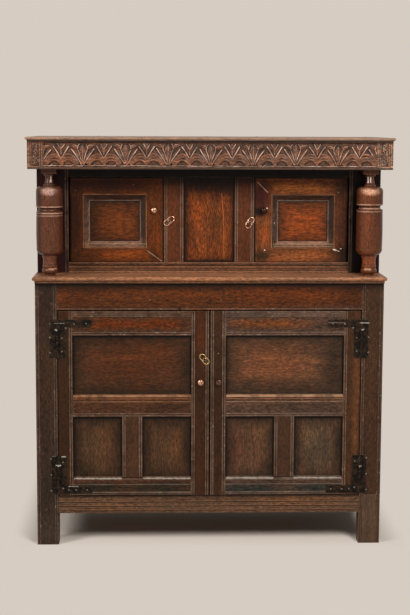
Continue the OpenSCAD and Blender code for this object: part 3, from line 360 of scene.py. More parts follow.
def makeSoftSpot():  # a stain, a tint, a rubbed place, painted light and painted shade, as an ellipsoid that fades out
    t, get, put = newGroup("softSpot", {"Place": "Vector", "Centre": "Vector", "Size": "Vector"},
                           Mask="Float")
    off = t.vector("DIVIDE", t.vector("SUBTRACT", get["Place"], get["Centre"]), get["Size"])
    off = t.vector("ADD", off, t.waver(get["Place"], 18.0, 2.0, 0.8))
    put(Mask=t.step(t.vector("LENGTH", off), 0.15, 1.05, down))


def makeMarkOrPaintedLight():  # a line from one point to another, seen from the front: used for marks, and for painted highlights, glints and shade lines
    t, get, put = newGroup("scratch", {"Place": "Vector", "Start": "Vector", "End": "Vector",
                                       "Width": "Float"}, Mask="Float")
    run, off = (t.vector("MULTIPLY", t.vector("SUBTRACT", get[end], get["Start"]), (1.0, 0.0, 1.0))
                for end in ("End", "Place"))
    share = t.maths("DIVIDE", t.vector("DOT_PRODUCT", off, run), t.vector("DOT_PRODUCT", run, run),
                    clamp=True)
    off = t.vector("LENGTH", t.vector("SUBTRACT", off, t.vector("SCALE", run, scale=share)))
    thin = t.times(get["Width"], t.patches(get["Place"], 90, 2.0, 0.5, 0.3, 0.7, (0.4, 1.2)))
    put(Mask=t.step(t.over(off, thin), 0.2, 1.0, down))


def makeMitre():  # 1 on the upright members of a mitred frame, 0 on the level ones
    t, get, put = newGroup("mitre", {**box, "Width": "Vector"}, Mask="Float")
    off = t.vector("SUBTRACT", t.apart(get["Place"], get["Centre"]), get["Half"])
    share = t.parts(t.vector("DIVIDE", off, get["Width"]))
    put(Mask=t.maths("GREATER_THAN", share["X"], share["Z"]))


def makeBeadStrip():  # scratched beads beside an edge: their crests, and the quirks between them
    t, get, put = newGroup("beadStrip", {**edgeSide, "Width": 0.008, "Count": "Float"},
                           Crest="Float", Quirk="Float")
    run = t.over(t.times(t.minus(get["Across"], get["Edge"]), get["Way"]), get["Width"])
    within = t.times(t.maths("GREATER_THAN", run, -0.06),
                     t.maths("LESS_THAN", run, t.plus(get["Count"], 0.1)))
    off = t.maths("ABSOLUTE", t.minus(t.maths("FRACT", run), 0.5))
    put(Crest=t.times(within, t.step(off, 0.12, 0.38, down)), Quirk=t.times(within, t.step(off, 0.34, 0.47)))


def makeEdgeFall():  # beside a line: a shade that fades out over a reach, and a band of that reach
    t, get, put = newGroup("edgeFall", {**edgeSide, "Reach": "Float"}, Fade="Float", Band="Float")
    run = t.over(t.times(t.minus(get["Across"], get["Edge"]), get["Way"]), get["Reach"])
    past = t.maths("GREATER_THAN", run, -0.1)
    put(Fade=t.times(past, t.step(run, 0.0, 1.0, down)), Band=t.times(past, t.maths("LESS_THAN", run, 1.0)))


def makeRimShadeMask():  # 1 along the border of a rectangle seen from the front, fading inwards: where a painted rim shade goes
    t, get, put = newGroup("rim", {**box, "Reach": "Float"}, Mask="Float")
    deep = t.parts(t.vector("SUBTRACT", get["Half"], t.apart(get["Place"], get["Centre"])))
    near = t.over(t.maths("MINIMUM", deep["X"], deep["Z"]), get["Reach"])
    put(Mask=t.times(t.maths("GREATER_THAN", near, -0.4), t.step(near, 0.1, 1.0, down)))


def makeFrameLine():  # a thin line inside a rectangle, at a set distance from its edges
    t, get, put = newGroup("frameLine", {**box, "Inset": "Float", "Width": "Float"}, Mask="Float")
    deep = t.parts(t.vector("SUBTRACT", get["Half"], t.apart(get["Place"], get["Centre"])))
    near = t.maths("ABSOLUTE", t.minus(t.maths("MINIMUM", deep["X"], deep["Z"]), get["Inset"]))
    put(Mask=t.step(t.over(near, get["Width"]), 0.25, 0.75, down))


def makeOldMetal():  # hammered and corroded metal
    t, get, put = newGroup("oldMetal", {"Place": "Vector", "Size": "Float"}, Rust="Float", Height="Float")
    place = t.vector("SCALE", get["Place"], scale=t.over(1.0, get["Size"]))
    blotch, pits = t.noise(place, 0.45, 4.0, 0.65), t.noise(place, 2.2, 3.0, 0.6)
    put(Rust=t.step(blotch, 0.42, 0.62), Height=t.plus(t.times(blotch, 0.6), t.times(pits, 0.4)))


for make in (makeOakFigure, makeWornEdge, makeHollowDirt, makeBoxField, makeSoftSpot, makeMarkOrPaintedLight,
             makeMitre, makeBeadStrip, makeEdgeFall, makeRimShadeMask, makeFrameLine, makeOldMetal):
    make()
print("effects made")


# finishes. Boxes are given as seen from the front: middle x and z, then half width and half height

oakLook = {  # what an oak piece has unless it says otherwise
    "grain": "x", "tone": (84, 56, 40), "edgeTone": None, "worn": (150, 114, 88), "wear": 0.5,
    "dirt": (24, 19, 15), "grime": 0.8, "coarse": 1.0, "flame": 0.15, "pores": 0.8, "contrast": 0.85,
    "fleck": 0.5, "rough": 0.44, "shine": 0.1, "coat": 0.1, "gloss": 0.22, "mitre": None, "below": None,
    # beadTone and beadShare: colour of the bead crests, rubbed wear and painted highlight; glint: painted
    # glints on the crests
    "beadTone": (124, 100, 84), "beadShare": 0.42, "glint": 0.28,
    "fields": (),     # the paler middles of panels, darker towards their edges by edgeTone, patina and painted shade of the sunk panel: box and softness
    "face": (-0.243, 0.3),  # y of the spots, and how deep they reach
    "spots": (),      # stains, tints, painted light and painted shade: box, colour factor and share
    "scratches": (),  # marks, and painted highlights and shade lines: x and z of both ends, width, shade and share
    "beads": (),      # axis, edge, way, number, start and end of a run
    "chamfers": (),   # bands along an edge, painted highlight and painted sheen on chamfers and mouldings, rubbed wear on column rings: axis, edge, way, reach, shade and share
    "rims": (),       # box, reach and share of a painted shade along a border that fades inwards, where a frame shades a sunk panel or a gap
    "lines": (),      # box, inset, width, shade and share
    "shades": (),     # painted shade fading from an edge, for shadow under overhangs, in gaps and down the sides of columns: axis, edge, way, reach and share
}


def oak(grain, r, g, b, **changes):
    return {**oakLook, "grain": grain, "tone": (r, g, b), **changes}


def scaled(colour, by, warm=0.0):
    r, g, b = (min(255, v * by) for v in colour)
    return tone(min(255, r * (1 + warm)), g, b * (1 - warm))


def figure(t, place, look, grain, shift):  # the grain runs along X of the turned coordinates
    parts, order = t.parts(place), {"x": "XYZ", "y": "YZX", "z": "ZXY"}[grain]
    turned = t.add("ShaderNodeCombineXYZ", **{to: parts[start] for to, start in zip("XYZ", order)})
    moved = t.vector("ADD", turned.outputs[0], (shift * 3.7, shift * 1.3, shift * 2.1))
    base, c = look["tone"], look["contrast"]
    return t.group("oakFigure", Place=moved, Dark=scaled(base, 1 - 0.42 * c), Middle=scaled(base, 1.0),
                   Light=scaled(base, 1 + 0.34 * c, 0.05), Coarse=look["coarse"], Flame=look["flame"],
                   Pores=look["pores"], Fleck=look["fleck"]).outputs


def boxed(t, name, place, sides, **values):  # the mask of an effect that works inside a box
    x, z, wide, high = sides
    return t.group(name, Place=place, Centre=(x, 0, z), Half=(wide, 1, high), **values).outputs[0]


def marked(t, place, colour, marks, usual=1.0):  # marks, painted highlights and painted glints over a colour
    for x0, z0, x1, z1, width, shade, *share in marks:
        line = t.group("scratch", Place=place, Start=(x0, 0, z0), End=(x1, 0, z1), Width=width).outputs[0]
        colour = t.mix(t.times(line, *(share or [usual])), colour, tone(*shade))
    return colour


def edgeMarks(t, look, place, colour):  # rubbed and painted highlights on beads and chamfers, dark quirks, painted shade at rims and edges
    parts = t.parts(place)
    patchy = t.patches(place, 22, 4.0, 0.65, 0.34, 0.62, (0.3, 1.0))
    # bands along edges: painted highlight and sheen on chamfers and mouldings, rubbed wear on column rings
    for axis, edge, way, reach, shade, share in look["chamfers"]:
        fall = t.group("edgeFall", Across=parts[axis], Edge=edge, Way=way, Reach=reach)
        colour = t.mix(t.times(fall.outputs["Band"], patchy, share), colour, tone(*shade))
    strips = [t.group("beadStrip", Across=parts[axis], Edge=edge, Way=way, Count=count).outputs
              for axis, edge, way, count, start, end in look["beads"]]
    if strips:
        crest, quirk = (t.highest(*(strip[n] for strip in strips)) for n in (0, 1))
        # bead crests: rubbed wear and painted highlight; their quirks: dirt
        colour = t.mix(t.times(crest, patchy, look["beadShare"]), colour, tone(*look["beadTone"]))
        colour = t.mix(t.times(quirk, 0.75), colour, tone(*look["dirt"]))
        # painted glints on the bead crests
        glint = t.times(t.patches(place, 75, 2.0, 0.6, 0.6, 0.7), crest, look["glint"])
        colour = t.mix(glint, colour, tone(178, 162, 146))
    # painted shade along the border of a sunk panel or a gap
    for *sides, reach, share in look["rims"]:
        colour = t.mix(t.times(boxed(t, "rim", place, sides, Reach=reach), share), colour, tone(12, 8, 6))
    # painted light and shade of a moulding's profile: bead, dark quirk and slope, pale inner edge
    for *sides, inset, width, shade, share in look["lines"]:
        line = boxed(t, "frameLine", place, sides, Inset=inset, Width=width)
        colour = t.mix(t.times(line, t.times(patchy, share)), colour, tone(*shade))
    # painted shade fading from an edge: shadow under overhangs, in gaps, down column sides
    for axis, edge, way, reach, share in look["shades"]:
        fall = t.group("edgeFall", Across=parts[axis], Edge=edge, Way=way, Reach=reach)
        colour = t.mix(t.times(fall.outputs["Fade"], share), colour, tone(14, 6, 2))
    return colour


def surface(t, strength, distance, height, normal, **values):  # the shader, bumped, and the tree's end
    bump = t.add("ShaderNodeBump", Strength=strength, Distance=distance, Height=height, Normal=normal)
    shader = t.add("ShaderNodeBsdfPrincipled", Normal=bump.outputs[0], **values)
    t.link(shader.outputs[0], t.add("ShaderNodeOutputMaterial").inputs[0])


def oakFinish(name, look, shift=0.0):  # shift: every piece is cut from another place in the tree
    material, t, place = newMaterial(name)
    colour, height = figure(t, place, look, look["grain"], shift)
    if look["mitre"] or look["below"]:
        otherColour, otherHeight = figure(t, place, look, "z", shift + 0.4)
        if look["mitre"]:
            *sides, wide, high = look["mitre"]
            upright = boxed(t, "mitre", place, sides, Width=(wide, 1, high))
        else:
            upright = t.maths("LESS_THAN", t.parts(place)["Z"], look["below"])
        colour = t.mix(upright, colour, otherColour)
        height = t.plus(t.times(height, t.minus(1.0, upright)), t.times(otherHeight, upright))
    if look["fields"]:
        inside = t.highest(*(boxed(t, "boxField", place, sides, Soft=soft)
                             for *sides, soft in look["fields"]))
        # panel middles paler, edges darker by edgeTone: patina and painted shade of the sunk panel
        colour = t.mix(inside, t.tint(1.0, colour, look["edgeTone"]), colour)
    colour = t.tint(t.step(t.noise(place, (5.5, 5.5, 7.0), 3.0, 0.55), 0.3, 0.7), colour, (1.22, 1.16, 1.1))
    for x, z, wide, high, factor, share, *own in look["spots"]:
        y, deep = own or look["face"]
        spot = t.group("softSpot", Place=place, Centre=(x, y, z), Size=(wide, deep, high)).outputs[0]
        colour = t.tint(t.times(spot, share), colour, factor)
    dirt = t.group("hollowDirt", Place=place).outputs[0]
    edge = t.group("wornEdge", Place=place).outputs
    rubbed = t.times(edge["Mask"], t.minus(1.0, dirt), look["wear"])
    colour = t.mix(rubbed, colour, tone(*look["worn"]))
    colour = t.mix(t.times(dirt, look["grime"]), colour, tone(*look["dirt"]))
    colour = marked(t, place, edgeMarks(t, look, place, colour), look["scratches"])
    rough = t.patches(place, 16, 3.0, 0.6, 0.3, 0.7, (look["rough"] - 0.08, look["rough"] + 0.12))
    surface(t, 0.55, 0.0007, height, edge["Normal"], Base_Color=colour, Specular_IOR_Level=look["shine"],
            Roughness=t.plus(rough, t.times(dirt, 0.25)), Coat_Weight=look["coat"],
            Coat_Roughness=look["gloss"])
    return material


def metalFinish(name, base, rust, wear, rough, metallic, grit, glints=()):
    material, t, place = newMaterial(name)
    old = t.group("oldMetal", Place=place, Size=grit).outputs
    edge = t.group("wornEdge", Place=place, Reach=0.0016, Round=0.0006).outputs
    dirt = t.group("hollowDirt", Place=place, Reach=0.005).outputs[0]
    colour = t.mix(old["Rust"], tone(*base), tone(*rust))
    colour = t.mix(t.times(edge["Mask"], 0.7), colour, tone(*wear))
    colour = marked(t, place, t.mix(t.times(dirt, 0.8), colour, tone(22, 16, 12)), glints, 0.65)
    shown = t.step(t.plus(old["Rust"], dirt), 0.2, 1.2, (metallic, metallic * 0.45))
    dull = t.step(old["Rust"], 0.0, 1.0, (rough, rough + 0.22))
    surface(t, 0.5, 0.0004, old["Height"], edge["Normal"], Base_Color=colour, Metallic=shown, Roughness=dull,
            Specular_IOR_Level=0.12)
    return material


doorRails = [0.198, 0.272, 0.512, 0.600, 0.832, 0.928]  # lower and upper edges of the lower doors' rails
leftUprights = [-0.589, -0.532, -0.342, -0.262, -0.072, -0.002]  # edges of the stiles and the upright
rightUprights = [0.002, 0.063, 0.2525, 0.3325, 0.522, 0.589]


def ringLines(*heights):  # pale rubbed rings round a column
    return [("Z", z, -1, 0.004, (182, 142, 120), 0.75) for z in heights]


def levelLines(end, *lines):  # lines from one end of a rail to the other: height, width, shade, share
    return [(-end, z, end, z, width, shade, share) for z, width, shade, share in lines]


def panelEdges(xs):  # the wide panel and the two small ones; their painted rim shade reaches past the lower edges, so these stay lit, and the rails above cast painted shadow on their tops
    z, past = doorRails, 0.012
    openings = ((xs[1], xs[4], z[3], z[4]), (xs[1], xs[2], z[1], z[2]), (xs[3], xs[4], z[1], z[2]))
    return dict(below=0.556, grime=0.5, flame=0.3, contrast=0.68, fleck=0.35, face=(-0.233, 0.3),
                rims=[((a + b) / 2, (c + d) / 2 - past, (b - a) / 2, (d - c) / 2 + past, 0.011, 0.85)
                      for a, b, c, d in openings],
                shades=[("Z", z[4], -1, 0.022, 0.92), ("Z", z[2], -1, 0.022, 0.92)])


def railEdges(xs, pale, tan):
    z, ends, thin = doorRails, (xs[1], xs[4]), (104, 98, 88)
    return dict(beads=[("Z", z[0], 1, 2, *ends), ("Z", z[2], 1, 2, *ends), ("Z", z[4], 1, 2, *ends),
                       ("Z", z[5], -1, 3, *ends)],
                # painted highlight and sheen: pale bands on chamfers that face up, and lines of the moulded
                # rails
                chamfers=[("Z", z[1] - 0.003, -1, 0.011, pale, 0.3),
                          ("Z", z[3] - 0.003, -1, 0.0075, tan, 0.85),
                          ("Z", 0.2425, -1, 0.0025, (112, 104, 94), 0.7), ("Z", 0.2105, -1, 0.003, thin, 0.7),
                          ("Z", z[3] - 0.0155, -1, 0.0035, (150, 92, 58), 0.6),
                          ("Z", z[3] - 0.027, -1, 0.004, tan, 0.45)],
                # a painted highlight along the chamfer under each small panel
                scratches=[(a + 0.003, z[1] - 0.0065, b - 0.003, z[1] - 0.0075, 0.0046, (160, 153, 141), 0.7)
                           for a, b in ((xs[1], xs[2]), (xs[3], xs[4]))],
                # painted shadow at the lower edge, over the gap under the door
                shades=[("Z", z[0], 1, 0.006, 0.8)], wear=0.6)


def bothEdges(a, b, low, high):  # two beads along both edges of an upright
    return [("X", a, 1, 2, low, high), ("X", b, -1, 2, low, high)]


def stile(side, *edges):  # stiles of a lower door: where their beads start, and to which side they go
    low, high = doorRails[0] + 0.001, doorRails[5] - 0.001
    return dict(contrast=0.6, fleck=0.3, beadShare=0.55,
                beads=[("X", x, way, 2, low, high) for x, way in edges],
                # painted shadow along the outer edge, in the gap beside the post
                shades=[("X", side * 0.589, -side, 0.005, 0.8)], worn=(118, 98, 84))


def muntin(a, b):
    return dict(contrast=0.55, fleck=0.3, beadShare=0.6, beads=bothEdges(a, b, 0.272, 0.512),
                worn=(118, 98, 84))


def column(side, rings, pale, **changes):
    ends = (0.558, 0.66) if side > 0 else (-0.66, -0.558)
    return dict(coarse=1.3, fleck=0.4, wear=0.6, rough=0.36, shine=0.12, coat=0.3, gloss=0.2,
                face=(-0.2, 0.2), chamfers=ringLines(*rings),
                # painted shade down both sides of the drum
                shades=[("X", ends[0], 1, 0.026, 0.55), ("X", ends[1], -1, 0.02, 0.5)],
                # painted highlights: two streaks on the neck and a patch on the cushion near the foot;
                # painted shade as a dark ring line above the foot
                scratches=[(side * 0.609 + a, z0, side * 0.609 + b, z1, width, shade, share)
                           for a, z0, b, z1, width, shade, share in (
                               (-0.001, 1.446, -0.001, 1.424, 0.0032, pale, 0.8),
                               (0.009, 1.444, 0.009, 1.428, 0.003, pale, 0.7),
                               (-0.051, 1.1065, 0.051, 1.1065, 0.003, (40, 22, 12), 0.7),
                               (-0.009, 1.0905, 0.015, 1.0915, 0.006, (206, 150, 112), 0.6))], **changes)


def upperDoor(side):  # what both upper doors have in common: frame, mouldings and panel
    x = side * 0.3705
    opening = (x, 1.266, 0.1265, 0.108)
    shared = dict(fleck=0.4, pores=0.55, face=(-0.107, 0.3))
    # frame: painted shadow along its border, in the gap round the door
    frame = dict(rims=[(side * 0.3645, 1.262, 0.1845, 0.175, 0.007, 0.85)], grime=0.5, wear=0.35,
                 mitre=(*opening, 0.058, 0.057), **shared)
    mouldings = dict(contrast=0.5, pores=0.4, wear=0.6, face=(-0.1, 0.3),
                     mitre=(x, 1.266, 0.0975, 0.079, 0.029, 0.029),
                     # pale lines on the bottom length, painted highlight where it faces up
                     chamfers=[("Z", 1.1775, -1, 0.0028, (186, 162, 134), 0.75),
                               ("Z", 1.1675, -1, 0.0026, (170, 132, 100), 0.7)],
                     # lines of the profile: an orange outer bead, painted shade in the quirk and on the
                     # slope, and a pale inner line as painted highlight
                     lines=[(*opening, 0.002, 0.007, (150, 98, 62), 0.7),
                            (*opening, 0.0065, 0.004, (40, 24, 14), 0.9),
                            (*opening, 0.0145, 0.01, (30, 22, 17), 0.62),
                            (*opening, 0.0262, 0.0024, (138, 130, 118), 0.38)])
    # panel: painted rim shade where the frame shades it
    panel = dict(rims=[(x, 1.266, 0.0985, 0.08, 0.008, 0.8)], flame=0.4, coarse=0.8, **shared)
    return frame, mouldings, panel


leftFrame, leftMouldings, leftPanel = upperDoor(-1)
rightFrame, rightMouldings, rightPanel = upperDoor(1)
orange = (1.5, 1.22, 0.85)
brown = (1.2, 1.1, 0.95)
shade = (0.5, 0.5, 0.52)
amber = (1.95, 1.0, 0.15)
greenish = (0.3, 0.62, 0.82)
boards = dict(wear=0.3, rough=0.7, coat=0.0, coarse=0.8)
# posts: painted shadow under the waist board, fading downwards
post = dict(contrast=0.6, fleck=0.4, shades=[("Z", 1.037, -1, 0.04, 0.85)])

oakPieces = {
    "front_post_left": oak("z", 44, 32, 24, beads=bothEdges(-0.675, -0.591, 0.002, 1.036), beadShare=0.36,
        **post, spots=[
        (-0.633, 0.06, 0.08, 0.11, (1.5, 1.7, 1.9), 0.9), (-0.633, 0.95, 0.08, 0.14, (0.7, 0.66, 0.7), 0.8),
        (-0.64, 0.7, 0.08, 0.34, (1.15, 0.92, 0.72), 0.9)]),
    "front_post_right": oak("z", 54, 35, 22, beads=bothEdges(0.591, 0.675, 0.2, 1.036), beadShare=0.25,
        **post),
    "spliced_foot_right": oak("z", 76, 58, 45, contrast=0.5, fleck=0.25),
    "rear_posts": oak("z", 74, 56, 42),
    "lower_top_rail": oak("x", 70, 35, 11, flame=0.25, beads=[("Z", 0.932, 1, 1, -0.591, 0.591)],
        # painted shadow under the waist board's nosing
        shades=[("Z", 1.037, -1, 0.046, 0.95)], face=(-0.243, 0.1), spots=[
        (0.3, 0.99, 0.3, 0.05, orange, 0.7), (-0.1, 0.985, 0.2, 0.04, brown, 0.6),
        (-0.5, 0.985, 0.12, 0.08, shade, 0.5), (0.56, 0.985, 0.12, 0.1, shade, 0.7)],
        scratches=[(-0.119, 0.9365, -0.115, 0.9365, 0.0055, (16, 11, 8), 0.9),
                   (0.27, 0.9455, 0.2745, 0.945, 0.005, (18, 12, 9), 0.85)]),
    # bottom rail: painted shadow under the doors along the top edge, as a fade and as a dark spot; dark lines
    # in the grooves as painted shade, pale lines at their lips as painted highlight
    "lower_bottom_rail": oak("x", 81, 59, 43, shades=[("Z", 0.196, -1, 0.012, 0.85)], face=(-0.243, 0.1),
        spots=[
        (0.36, 0.17, 0.22, 0.03, orange, 0.6), (-0.4, 0.15, 0.16, 0.03, orange, 0.5),
        (0.0, 0.185, 0.4, 0.022, shade, 0.7)],
        scratches=levelLines(0.591, *((z, 0.0028, (26, 18, 13), 0.75) for z in (0.1365, 0.1532, 0.1698)),
                             *((z, 0.0018, (150, 106, 76), 0.45) for z in (0.1402, 0.157, 0.1738)))),
    "lower_side_rails": oak("y", 45, 31, 23),
    "lower_side_panels": oak("y", 59, 43, 31),
    "back_rails": oak("x", 86, 68, 52),
    "lower_back_boards": oak("x", 92, 76, 60, **boards),
    "floor_boards": oak("x", 96, 76, 58, rough=0.65, coat=0.0),
    "shelf_boards": oak("x", 100, 78, 58, rough=0.65, coat=0.0),
    "bearers": oak("y", 90, 70, 54, rough=0.7),
    # waist board: painted shade on the underside of the nosing; its nose and top face made lighter, painted
    # light
    "waist_board": oak("x", 128, 89, 64, contrast=0.6, fleck=0.4, worn=(176, 130, 96),
        shades=[("Z", 1.036, 1, 0.016, 0.75)], spots=[
        (0.02, 1.05, 0.16, 0.02, (1.3, 1.2, 1.1), 0.6, -0.27, 0.1),
        (0.0, 1.066, 1.4, 0.014, (1.4, 1.4, 1.45), 1.0, -0.17, 0.14)]),
    # upper posts: very dark tone, painted shade under the canopy; a near-black spot on the right post,
    # painted shadow of the right column
    "upper_posts": oak("z", 31, 3, 2, face=(-0.107, 0.5),
        spots=[(0.6, 1.27, 0.14, 0.8, (0.08, 0.08, 0.1), 1.0)],
        beads=[("X", -0.551, -1, 2, 1.063, 1.473), ("X", 0.551, 1, 2, 1.063, 1.473)]),
    "upper_rear_posts": oak("z", 74, 56, 42),
    # head rail: near-black tone, painted shade under the canopy
    "upper_head_rail": oak("x", 7, 1, 1),
    # sill: painted shade below its top edge; dark level lines as painted shade in its grooves, pale ones as
    # painted highlight
    "upper_sill_rail": oak("x", 102, 64, 41, contrast=0.6, fleck=0.4,
        beads=[("Z", 1.105, -1, 1, -0.551, 0.551)],
        beadShare=0.3, shades=[("Z", 1.098, -1, 0.018, 0.4)], worn=(156, 116, 88),
        scratches=levelLines(0.551, (1.0925, 0.004, (34, 22, 15), 0.75), (1.0805, 0.003, (44, 28, 19), 0.65),
                             (1.0862, 0.0022, (150, 112, 84), 0.5), (1.067, 0.0024, (150, 116, 90), 0.6),
                             (1.0735, 0.002, (60, 38, 24), 0.5)) +
                  [(-0.0081, 1.0756, -0.0071, 1.0756, 0.003, (30, 20, 14), 0.9),
                   (0.0949, 1.0617, 0.0959, 1.0617, 0.003, (30, 20, 14), 0.9)]),
    "upper_muntins": oak("z", 73, 38, 18, contrast=0.55, fleck=0.3, beadShare=0.62, wear=0.65,
        worn=(142, 112, 96),
        beads=bothEdges(-0.178, -0.1, 1.106, 1.438) + bothEdges(0.1, 0.178, 1.106, 1.438),
        # painted shadow under the head rail
        shades=[("Z", 1.439, -1, 0.05, 0.85)], face=(-0.107, 0.1),
        spots=[(-0.139, 1.27, 0.02, 0.15, orange, 0.4)]),
    # centre panel: painted rim shade round it, painted shadow of the canopy down from its top, and edges
    # darker by edgeTone, patina and painted shade
    "centre_panel": oak("z", 103, 51, 19, rims=[(0.0, 1.272, 0.1, 0.167, 0.013, 0.9)], flame=0.2,
        shades=[("Z", 1.439, -1, 0.078, 1.0)], edgeTone=(0.3, 0.33, 0.34),
        fields=[(0.004, 1.245, 0.086, 0.135, 0.03)],
        face=(-0.097, 0.3), spots=[
        (-0.045, 1.29, 0.03, 0.08, orange, 0.6, -0.097, 0.1),
        (0.028, 1.26, 0.05, 0.14, (0.66, 0.78, 0.8), 0.9),
        (-0.075, 1.21, 0.03, 0.1, (0.8, 0.85, 0.85), 0.8)],
        scratches=[(0.0495, 1.375, 0.0575, 1.28, 0.003, (168, 92, 48), 0.7),
                   (0.0575, 1.28, 0.0592, 1.12, 0.003, (160, 88, 44), 0.7),
                   (0.0535, 1.36, 0.0625, 1.28, 0.0022, (40, 22, 14), 0.6)]),
    "upper_side_rails": oak("y", 74, 52, 38),
    "upper_side_panels": oak("y", 80, 54, 38),
    "upper_back_boards": oak("x", 92, 76, 60, **boards),
    "column_left": oak("z", 73, 40, 24, contrast=0.7, worn=(170, 120, 88), spots=[
        # painted light: a highlight on the dome, a lighter upper drum, a lighter streak down the drum and a
        # lighter foot
        (-0.622, 1.391, 0.04, 0.022, (5.5, 10.0, 18.0), 1.0), (-0.6, 1.37, 0.05, 0.05, (1.55, 1.6, 1.8), 0.9),
        (-0.598, 1.25, 0.022, 0.11, (1.4, 1.3, 1.15), 0.7), (-0.609, 1.11, 0.2, 0.05, (1.5, 1.5, 1.5), 0.9)],
        **column(-1, (1.331, 1.3065, 1.297), (214, 206, 196))),
    "column_right": oak("z", 79, 41, 21, contrast=0.65, worn=(178, 126, 92), spots=[
        # painted light: a highlight on the dome, a lighter upper drum, a lighter streak down the drum and a
        # lighter foot
        (0.617, 1.391, 0.044, 0.02, (6.5, 13.0, 26.0), 1.0), (0.603, 1.37, 0.05, 0.05, (1.35, 1.3, 1.2), 0.9),
        (0.603, 1.25, 0.022, 0.11, (1.5, 1.35, 1.2), 0.8), (0.609, 1.12, 0.2, 0.05, (1.8, 1.6, 1.3), 0.9)],
        **column(1, (1.342, 1.3265, 1.3155), (226, 222, 214))),
    "canopy_side_rails": oak("y", 98, 72, 56),
    "soffit_boards": oak("x", 70, 52, 40, rough=0.7),
    "top_boards": oak("x", 138, 111, 94, wear=0.7, worn=(196, 172, 154), coarse=0.8, fleck=0.2, contrast=0.5,
        # painted shade on the lower part of the front edge
        shades=[("Z", 1.582, 1, 0.0075, 0.6)]),
    "door_stops": oak("x", 80, 60, 46),
    "lower_left_stiles": oak("z", 48, 26, 11, **stile(-1, (-0.532, -1), (-0.072, 1), (-0.002, -1)), spots=[
        (-0.036, 0.86, 0.022, 0.12, (1.75, 1.3, 0.8), 0.9), (-0.03, 0.76, 0.03, 0.12, (1.4, 1.25, 1.1), 0.8),
        (-0.035, 0.33, 0.03, 0.16, brown, 0.6, -0.243, 0.1),
        (-0.035, 0.6, 0.03, 0.07, shade, 0.5, -0.243, 0.1),
        (-0.56, 0.56, 0.04, 0.4, (0.8, 0.93, 0.94), 0.9)]),
    "lower_left_rails": oak("x", 60, 36, 21, **railEdges(leftUprights, (98, 82, 70), (154, 110, 80)),
        worn=(150, 128, 112), spots=[
        (-0.4, 0.878, 0.14, 0.03, amber, 0.95), (-0.22, 0.878, 0.16, 0.03, amber, 0.95),
        (-0.43, 0.226, 0.16, 0.034, greenish, 0.95), (-0.18, 0.226, 0.18, 0.034, greenish, 0.95)]),
    "lower_left_muntin": oak("z", 58, 37, 23, **muntin(-0.342, -0.262)),
    "lower_left_panels": oak("x", 61, 39, 23, **panelEdges(leftUprights), edgeTone=(0.45, 0.5, 0.55), fields=[
        (-0.302, 0.715, 0.205, 0.095, 0.06), (-0.437, 0.385, 0.078, 0.105, 0.04),
        (-0.167, 0.385, 0.078, 0.105, 0.04)], spots=[
        (-0.3, 0.72, 0.32, 0.16, (1.25, 0.82, 0.55), 0.9), (-0.2, 0.78, 0.12, 0.03, orange, 0.5, -0.233, 0.1),
        (-0.437, 0.39, 0.1, 0.14, (1.25, 1.45, 1.5), 0.9), (-0.167, 0.39, 0.1, 0.14, (1.3, 1.42, 1.5), 0.9),
        (-0.4, 0.42, 0.04, 0.09, (1.35, 1.15, 1.0), 0.7), (-0.5, 0.3, 0.07, 0.05, (0.5, 0.62, 0.62), 0.9),
        (-0.13, 0.4, 0.04, 0.07, (1.5, 1.3, 1.1), 0.8), (-0.085, 0.36, 0.025, 0.16, (0.6, 0.62, 0.62), 0.9)]),
    "lower_right_stiles": oak("z", 59, 36, 19, **stile(1, (0.522, 1), (0.063, -1), (0.002, 1)), spots=[
        (0.033, 0.56, 0.07, 0.6, (0.5, 0.5, 0.5), 0.95), (0.574, 0.6, 0.02, 0.3, (1.75, 1.7, 1.6), 0.9),
        (0.574, 0.4, 0.016, 0.1, (1.5, 1.5, 1.5), 0.8), (0.545, 0.3, 0.02, 0.1, brown, 0.6)]),
    "lower_right_rails": oak("x", 65, 47, 37, **railEdges(rightUprights, (136, 116, 102), (166, 128, 98)),
        worn=(158, 136, 120), spots=[
        (0.22, 0.878, 0.24, 0.028, amber, 0.75), (0.28, 0.595, 0.22, 0.012, orange, 0.7, -0.243, 0.1),
        (0.17, 0.222, 0.16, 0.03, greenish, 0.95), (0.42, 0.222, 0.18, 0.03, greenish, 0.95)]),
    "lower_right_muntin": oak("z", 56, 37, 24, **muntin(0.2525, 0.3325)),
    "lower_right_panels": oak("x", 74, 51, 35, **panelEdges(rightUprights), edgeTone=(0.42, 0.46, 0.5),
        fields=[
        (0.275, 0.715, 0.19, 0.095, 0.07), (0.157, 0.385, 0.078, 0.105, 0.04),
        (0.427, 0.385, 0.078, 0.105, 0.04)], spots=[
        (0.24, 0.72, 0.24, 0.12, (1.75, 1.3, 1.05), 0.9), (0.427, 0.38, 0.1, 0.14, (0.74, 1.06, 1.28), 0.9),
        (0.1, 0.38, 0.05, 0.12, (1.0, 0.78, 0.85), 0.8), (0.205, 0.41, 0.03, 0.09, (1.45, 1.35, 1.15), 0.8),
        (0.235, 0.29, 0.06, 0.06, (0.5, 0.55, 0.55), 0.9), (0.395, 0.42, 0.05, 0.07, (1.25, 1.3, 1.2), 0.8),
        (0.51, 0.38, 0.03, 0.15, (0.6, 0.65, 0.65), 0.9)],
        scratches=[(0.312, 0.738, 0.316, 0.737, 0.005, (34, 20, 13), 0.8)]),
    "upper_left_frame": oak("x", 75, 36, 8, flame=0.25, contrast=0.65, worn=(140, 96, 66), **leftFrame,
        spots=[
        (-0.211, 1.21, 0.03, 0.06, orange, 0.9, -0.107, 0.1),
        # painted light on the bottom rail; painted shadow of the column on the outer stile and of the canopy
        # on the top rail
        (-0.33, 1.133, 0.14, 0.026, (2.5, 2.2, 1.7), 0.95),
        (-0.527, 1.27, 0.055, 0.24, (0.3, 0.3, 0.3), 0.95),
